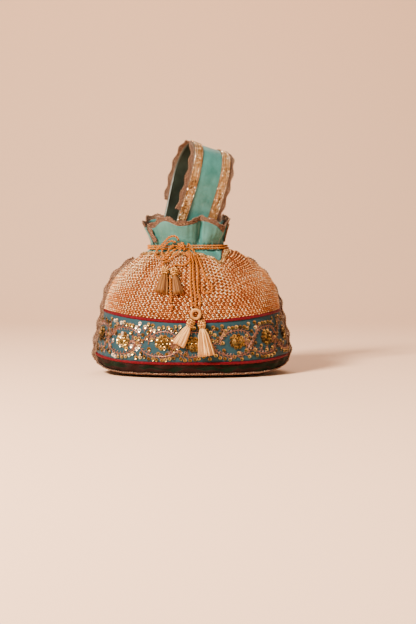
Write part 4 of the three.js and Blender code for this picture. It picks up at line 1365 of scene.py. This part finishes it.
def add_neck_trim(side):
    """A narrow gold braid over the joint between the weave and the ruffle."""
    share = np.linspace(0, 1, 260)
    angle = panel_angle(side, share, LEVEL_WEAVE_TOP, 1)
    level = weave_top(angle) - 3.6
    middle = folded(angle, level)
    up = unit(folded(angle, level + 0.5) - folded(angle, level - 0.5))
    strip = Strip(middle, up, cloth_normal(angle, level))
    build = Build()
    braid(build, build, Strip(middle + strip.columns[:, 6:] * 0.8, up, strip.columns[:, 6:]),
          5.2, outer=False)
    outer, inner = strip_sheet(strip, np.linspace(0, 5.2, 5), (0.2, 0.85), 1.2)
    vertices, faces = sheet(outer, inner)
    build.add(vertices, [faces], 0.1)
    build.object(f"neck_trim_{side}_braid", MATERIALS["zari_braid"],
                 replaces=[f"neck_trim_{side}"], slot="zari_trim")


# ------------------------------------------------------------------------------ the ruffle

FLAPS = {"front": (-151, 0), "back": (6, 203)}


def gathers(angle, level):
    """Fine folds that the drawstring makes; they only pull the satin in where it is tied."""
    turn = np.radians(angle)
    fine = np.sin(38 * turn + 1.7 * np.sin(5 * turn)) + 0.7 * np.sin(61 * turn + 2)
    tied = np.exp(-((level - 150.2) / 4.5) ** 2)
    soft = ripples(angle / 11, level / 26, 6, 0.6, 1.3, 17)
    above = smoothstep(level, 153, 168)
    groove = -5.2 * bump(angle, -71, 3.2) * smoothstep(level, 152, 162)
    return 0.55 * (fine - 1.7) * tied + above * (1.5 * soft + 0.14 * fine) + groove


def ruffle(angle, level):
    """The satin above the neck, with its rim's rise and dip."""
    point = lifted(angle, level, gathers(angle, level))
    shift = rim_rise(wrap_degrees(np.asarray(angle, float) + 90)) * smoothstep(
        level, LEVEL_NECK + 3, LEVEL_RIM)
    point[..., 2] += shift
    return point


def add_ruffle(side):
    low_angle, high_angle = FLAPS[side]
    angle, height = np.meshgrid(np.linspace(low_angle, high_angle, 230), np.linspace(0, 1, 26))
    low = weave_top(angle) + 0.2
    outer = ruffle(angle, low + (LEVEL_RIM - low) * height)
    piece = sheet_object(f"satin_ruffle_{side}_cloth", outer, offset_grid(outer, -0.9),
                         MATERIALS["teal_satin"], grid_uv(outer),
                         replaces=[f"satin_ruffle_{side}"], slot="satin")


def add_rim_lace(side):
    """Crochet lace that stands on the rim and curls outwards."""
    angle = np.linspace(*FLAPS[side], 260)
    middle = ruffle(angle, np.full(260, LEVEL_RIM))
    normal = cloth_normal(angle, np.full(260, LEVEL_RIM))
    across = unit(np.array([0, 0, 1.0]) + normal * 0.42)
    strip = Strip(middle - normal * 0.45, across, np.cross(unit(np.gradient(middle, axis=0)),
                                                           across))
    build = Build()
    crochet(build, strip, scalloped(5.6, 1.2, 15.0))
    build.object(f"rim_lace_{side}_crochet", MATERIALS["crochet_yarn"],
                 replaces=[f"rim_lace_{side}"], slot="crochet_lace")


def add_flap_lace(side):
    """Crochet lace down both open edges of a flap."""
    low_angle, high_angle = FLAPS[side]
    ends = {"left": (low_angle, 1), "right": (high_angle, -1)}
    if side == "back":
        ends = {"left": (high_angle, -1), "right": (low_angle, 1)}
    for end, (edge, way) in ends.items():
        level = np.linspace(LEVEL_NECK + 6, LEVEL_RIM + 1, 40)
        angle = np.full(40, edge + way * 0.4)
        middle = ruffle(angle, level)
        across = unit(ruffle(angle + way * 2, level) - middle)
        normal = cloth_normal(angle, level)
        off = 1.1 if side == "front" else -1.7
        strip = Strip(middle + normal * off, across, normal)
        build = Build()
        crochet(build, strip, scalloped(6.0, 0.9, 12.0))
        name = f"flap_lace_{side}_{end}"
        build.object(f"{name}_crochet", MATERIALS["crochet_yarn"], replaces=[name],
                     slot="crochet_lace")


def add_lining():
    """The inner sack, open at the neck."""
    columns = np.linspace(-180, 180, 140, endpoint=False)
    levels = np.array([2, 5, 9, 14, 20, 30, 40, 54, 68, 80, 90, 99, 108, 116, 122, 129, 135, 141,
                       148.0])
    floor_shares = np.array([0.0, 0.2, 0.45, 0.7, 0.86])

    def layer(offset):
        edge = cloth(columns, 0.0)
        floor = [stack(edge[:, 0] * share, edge[:, 1] * share, edge[:, 2] * share**3 - offset)
                 for share in floor_shares]
        wall = [lifted(columns, level, offset) for level in levels]
        grid = np.stack(floor + wall)
        grid[..., 2] = np.maximum(grid[..., 2], -offset)
        return grid

    outer = layer(-3.0)
    outer[0] += stack(np.cos(np.radians(columns)), np.sin(np.radians(columns)), 0) * 0.05
    sheet_object("lining_sack", outer, layer(-3.9), MATERIALS["dark_lining"], grid_uv(outer),
                 replaces=["lining"], slot="lining_cloth", wrap=True)


# ------------------------------------------------------------------------------ the handle

HANDLE = {"foot": (-6, 0, 172), "turn": 22, "lean": 15.5, "half": 23.5, "gold": 11}
HANDLE_LINE = [
    (-26, -15), (-24, -3), (-23.5, 10), (-26, 28), (-29, 48), (-29, 66), (-25, 82), (-16, 94.5),
    (0, 100), (16, 94.5), (25, 82), (28.5, 66), (28, 48), (25, 28), (22.5, 10), (23, -3),
    (25, -15),
]


def handle_turn():
    turn, lean = math.radians(HANDLE["turn"]), math.radians(HANDLE["lean"])
    about_z = np.array([[math.cos(turn), -math.sin(turn), 0], [math.sin(turn), math.cos(turn), 0],
                        [0, 0, 1]])
    about_y = np.array([[math.cos(lean), 0, math.sin(lean)], [0, 1, 0],
                        [-math.sin(lean), 0, math.cos(lean)]])
    return about_z @ about_y


def handle_strip():
    line = spline([(0, back, up) for back, up in HANDLE_LINE], 1.0)
    along = unit(np.gradient(line, axis=0))
    face = stack(0 * along[:, 0], -along[:, 2], along[:, 1])
    turn = handle_turn()
    across = np.broadcast_to(turn @ np.array([1.0, 0, 0]), line.shape)
    return Strip(line @ turn.T + HANDLE["foot"], across, face @ turn.T)


def add_handle():
    strip = handle_strip()
    half, gold = HANDLE["half"], HANDLE["half"] - HANDLE["gold"]

    def ribbon(name, offset, sign, amount, material, slot, seed):
        run, across = np.meshgrid(np.arange(0, strip.length, 1.6), np.linspace(-half, half, 30))
        free = np.clip((half - np.abs(across)) / 9, 0, 1)
        wrinkle = amount * free * ripples(run / 9, across / 16, 7, 0.5, 1.7, seed)
        pinch = 0.5 * free * np.sin(across / 2.3 + 0.06 * run) * (
            np.exp(-run / 22) + np.exp(-(strip.length - run) / 22))
        outer = strip.at(run, across, offset + sign * 0.45 + wrinkle + pinch)
        inner = strip.at(run, across, offset - sign * 0.45 + 0 * run)
        sheet_object(name + "_cloth", outer, inner, MATERIALS[material], grid_uv(outer),
                     replaces=[name], slot=slot)

    ribbon("handle_strap", 0.75, 1, 0.55, "teal_satin", "satin", 31)
    ribbon("handle_lining", -0.45, -1, -0.7, "dark_lining", "lining_cloth", 32)
    for side, way in (("left", -1), ("right", 1)):
        middle = strip.columns[:, :3] + strip.columns[:, 3:6] * way * half
        raised = middle + strip.columns[:, 6:] * 1.95
        lace_strip = Strip(middle + strip.columns[:, 6:] * 0.7, strip.columns[:, 3:6] * way,
                           strip.columns[:, 6:])
        braid_strip = Strip(raised, strip.columns[:, 3:6] * -way, strip.columns[:, 6:])
        build, beads = Build(), Build()
        braid(build, beads, braid_strip, half - gold)
        outer, inner = strip_sheet(Strip(middle, strip.columns[:, 3:6] * -way,
                                         strip.columns[:, 6:]),
                                   np.linspace(0, half - gold, 6), (1.3, 2.0))
        vertices, faces = sheet(outer, inner)
        build.add(vertices, [faces], 0.02)
        build.object(f"handle_zari_{side}_braid", MATERIALS["zari_braid"],
                     replaces=[f"handle_zari_{side}"], slot="zari_trim")
        beads.object(f"handle_beads_{side}", MATERIALS["mirror_bead"], slot="zari_trim")
        low, high = strip.length * 8 / 70, strip.length * 59 / 70
        inside = (lace_strip.run > low) & (lace_strip.run < high)
        lace_strip = Strip(*(lace_strip.columns[inside, i:i + 3] for i in (0, 3, 6)))
        lace = Build()
        crochet(lace, lace_strip, lambda run: 4.8 - 1.1 * np.cos(
            2 * math.pi * (np.asarray(run) + low) / LACE_PERIOD))
        lace.object(f"handle_lace_{side}_crochet", MATERIALS["crochet_yarn"],
                    replaces=[f"handle_lace_{side}"], slot="crochet_lace")


# ------------------------------------------------------------------------------ the setting


# The sweep's sizes in metres.
SWEEP_FRONT = -3.2
SWEEP_BEND = 0.9
SWEEP_BEND_RADIUS = 0.8
SWEEP_BACK = 1.7
SWEEP_TOP = 3.2
SWEEP_HALF_WIDTH = 3.5
SWEEP_DROP = 0.0003


def add_sweep():
    """A pale floor that curves up into a wall."""
    profile = [(SWEEP_FRONT, 0), (SWEEP_BEND, 0)]
    for turn in np.linspace(0, math.pi / 2, 14)[1:]:
        profile.append((SWEEP_BEND + SWEEP_BEND_RADIUS * math.sin(turn),
                        SWEEP_BEND_RADIUS - SWEEP_BEND_RADIUS * math.cos(turn)))
    profile.append((SWEEP_BACK, SWEEP_TOP))
    vertices, faces = [], []
    for y, z in profile:
        vertices += [(-SWEEP_HALF_WIDTH, y, z - SWEEP_DROP),
                     (SWEEP_HALF_WIDTH, y, z - SWEEP_DROP)]
    for i in range(len(profile) - 1):
        faces.append((2 * i, 2 * i + 1, 2 * i + 3, 2 * i + 2))
    mesh = bpy.data.meshes.new("sweep")
    mesh.from_pydata(vertices, [], faces)
    mesh.polygons.foreach_set("use_smooth", [True] * len(faces))
    mesh.materials.append(MATERIALS["floor_paint"])
    sweep = bpy.data.objects.new("sweep", mesh)
    bpy.context.scene.collection.objects.link(sweep)


def main():
    add_camera()
    cords = add_cords()
    ring = add_cord_ring()
    tassels = {name: [add_tassel_head(name, tassel), add_tassel_skirt(name, tassel)]
               for name, tassel in TASSELS.items()}
    declare_cords(cords, add_end_knot())
    add_neck_cords()
    add_knot()
    for side in ("front", "back"):
        add_panels(side)
        add_embroidery(side)
        add_neck_trim(side)
        add_ruffle(side)
        add_rim_lace(side)
        add_flap_lace(side)
    add_cloth("base_panel_front", "front", LEVEL_SEAM + 1.0, LEVEL_LOWER_PIPING
              - PIPING_CLEARANCE, 10, 180, 1.3, "brocade", "brocade")
    add_back_base()
    add_seam_lace()
    add_lining()
    add_handle()
    add_sweep()
    add_lights()


main()
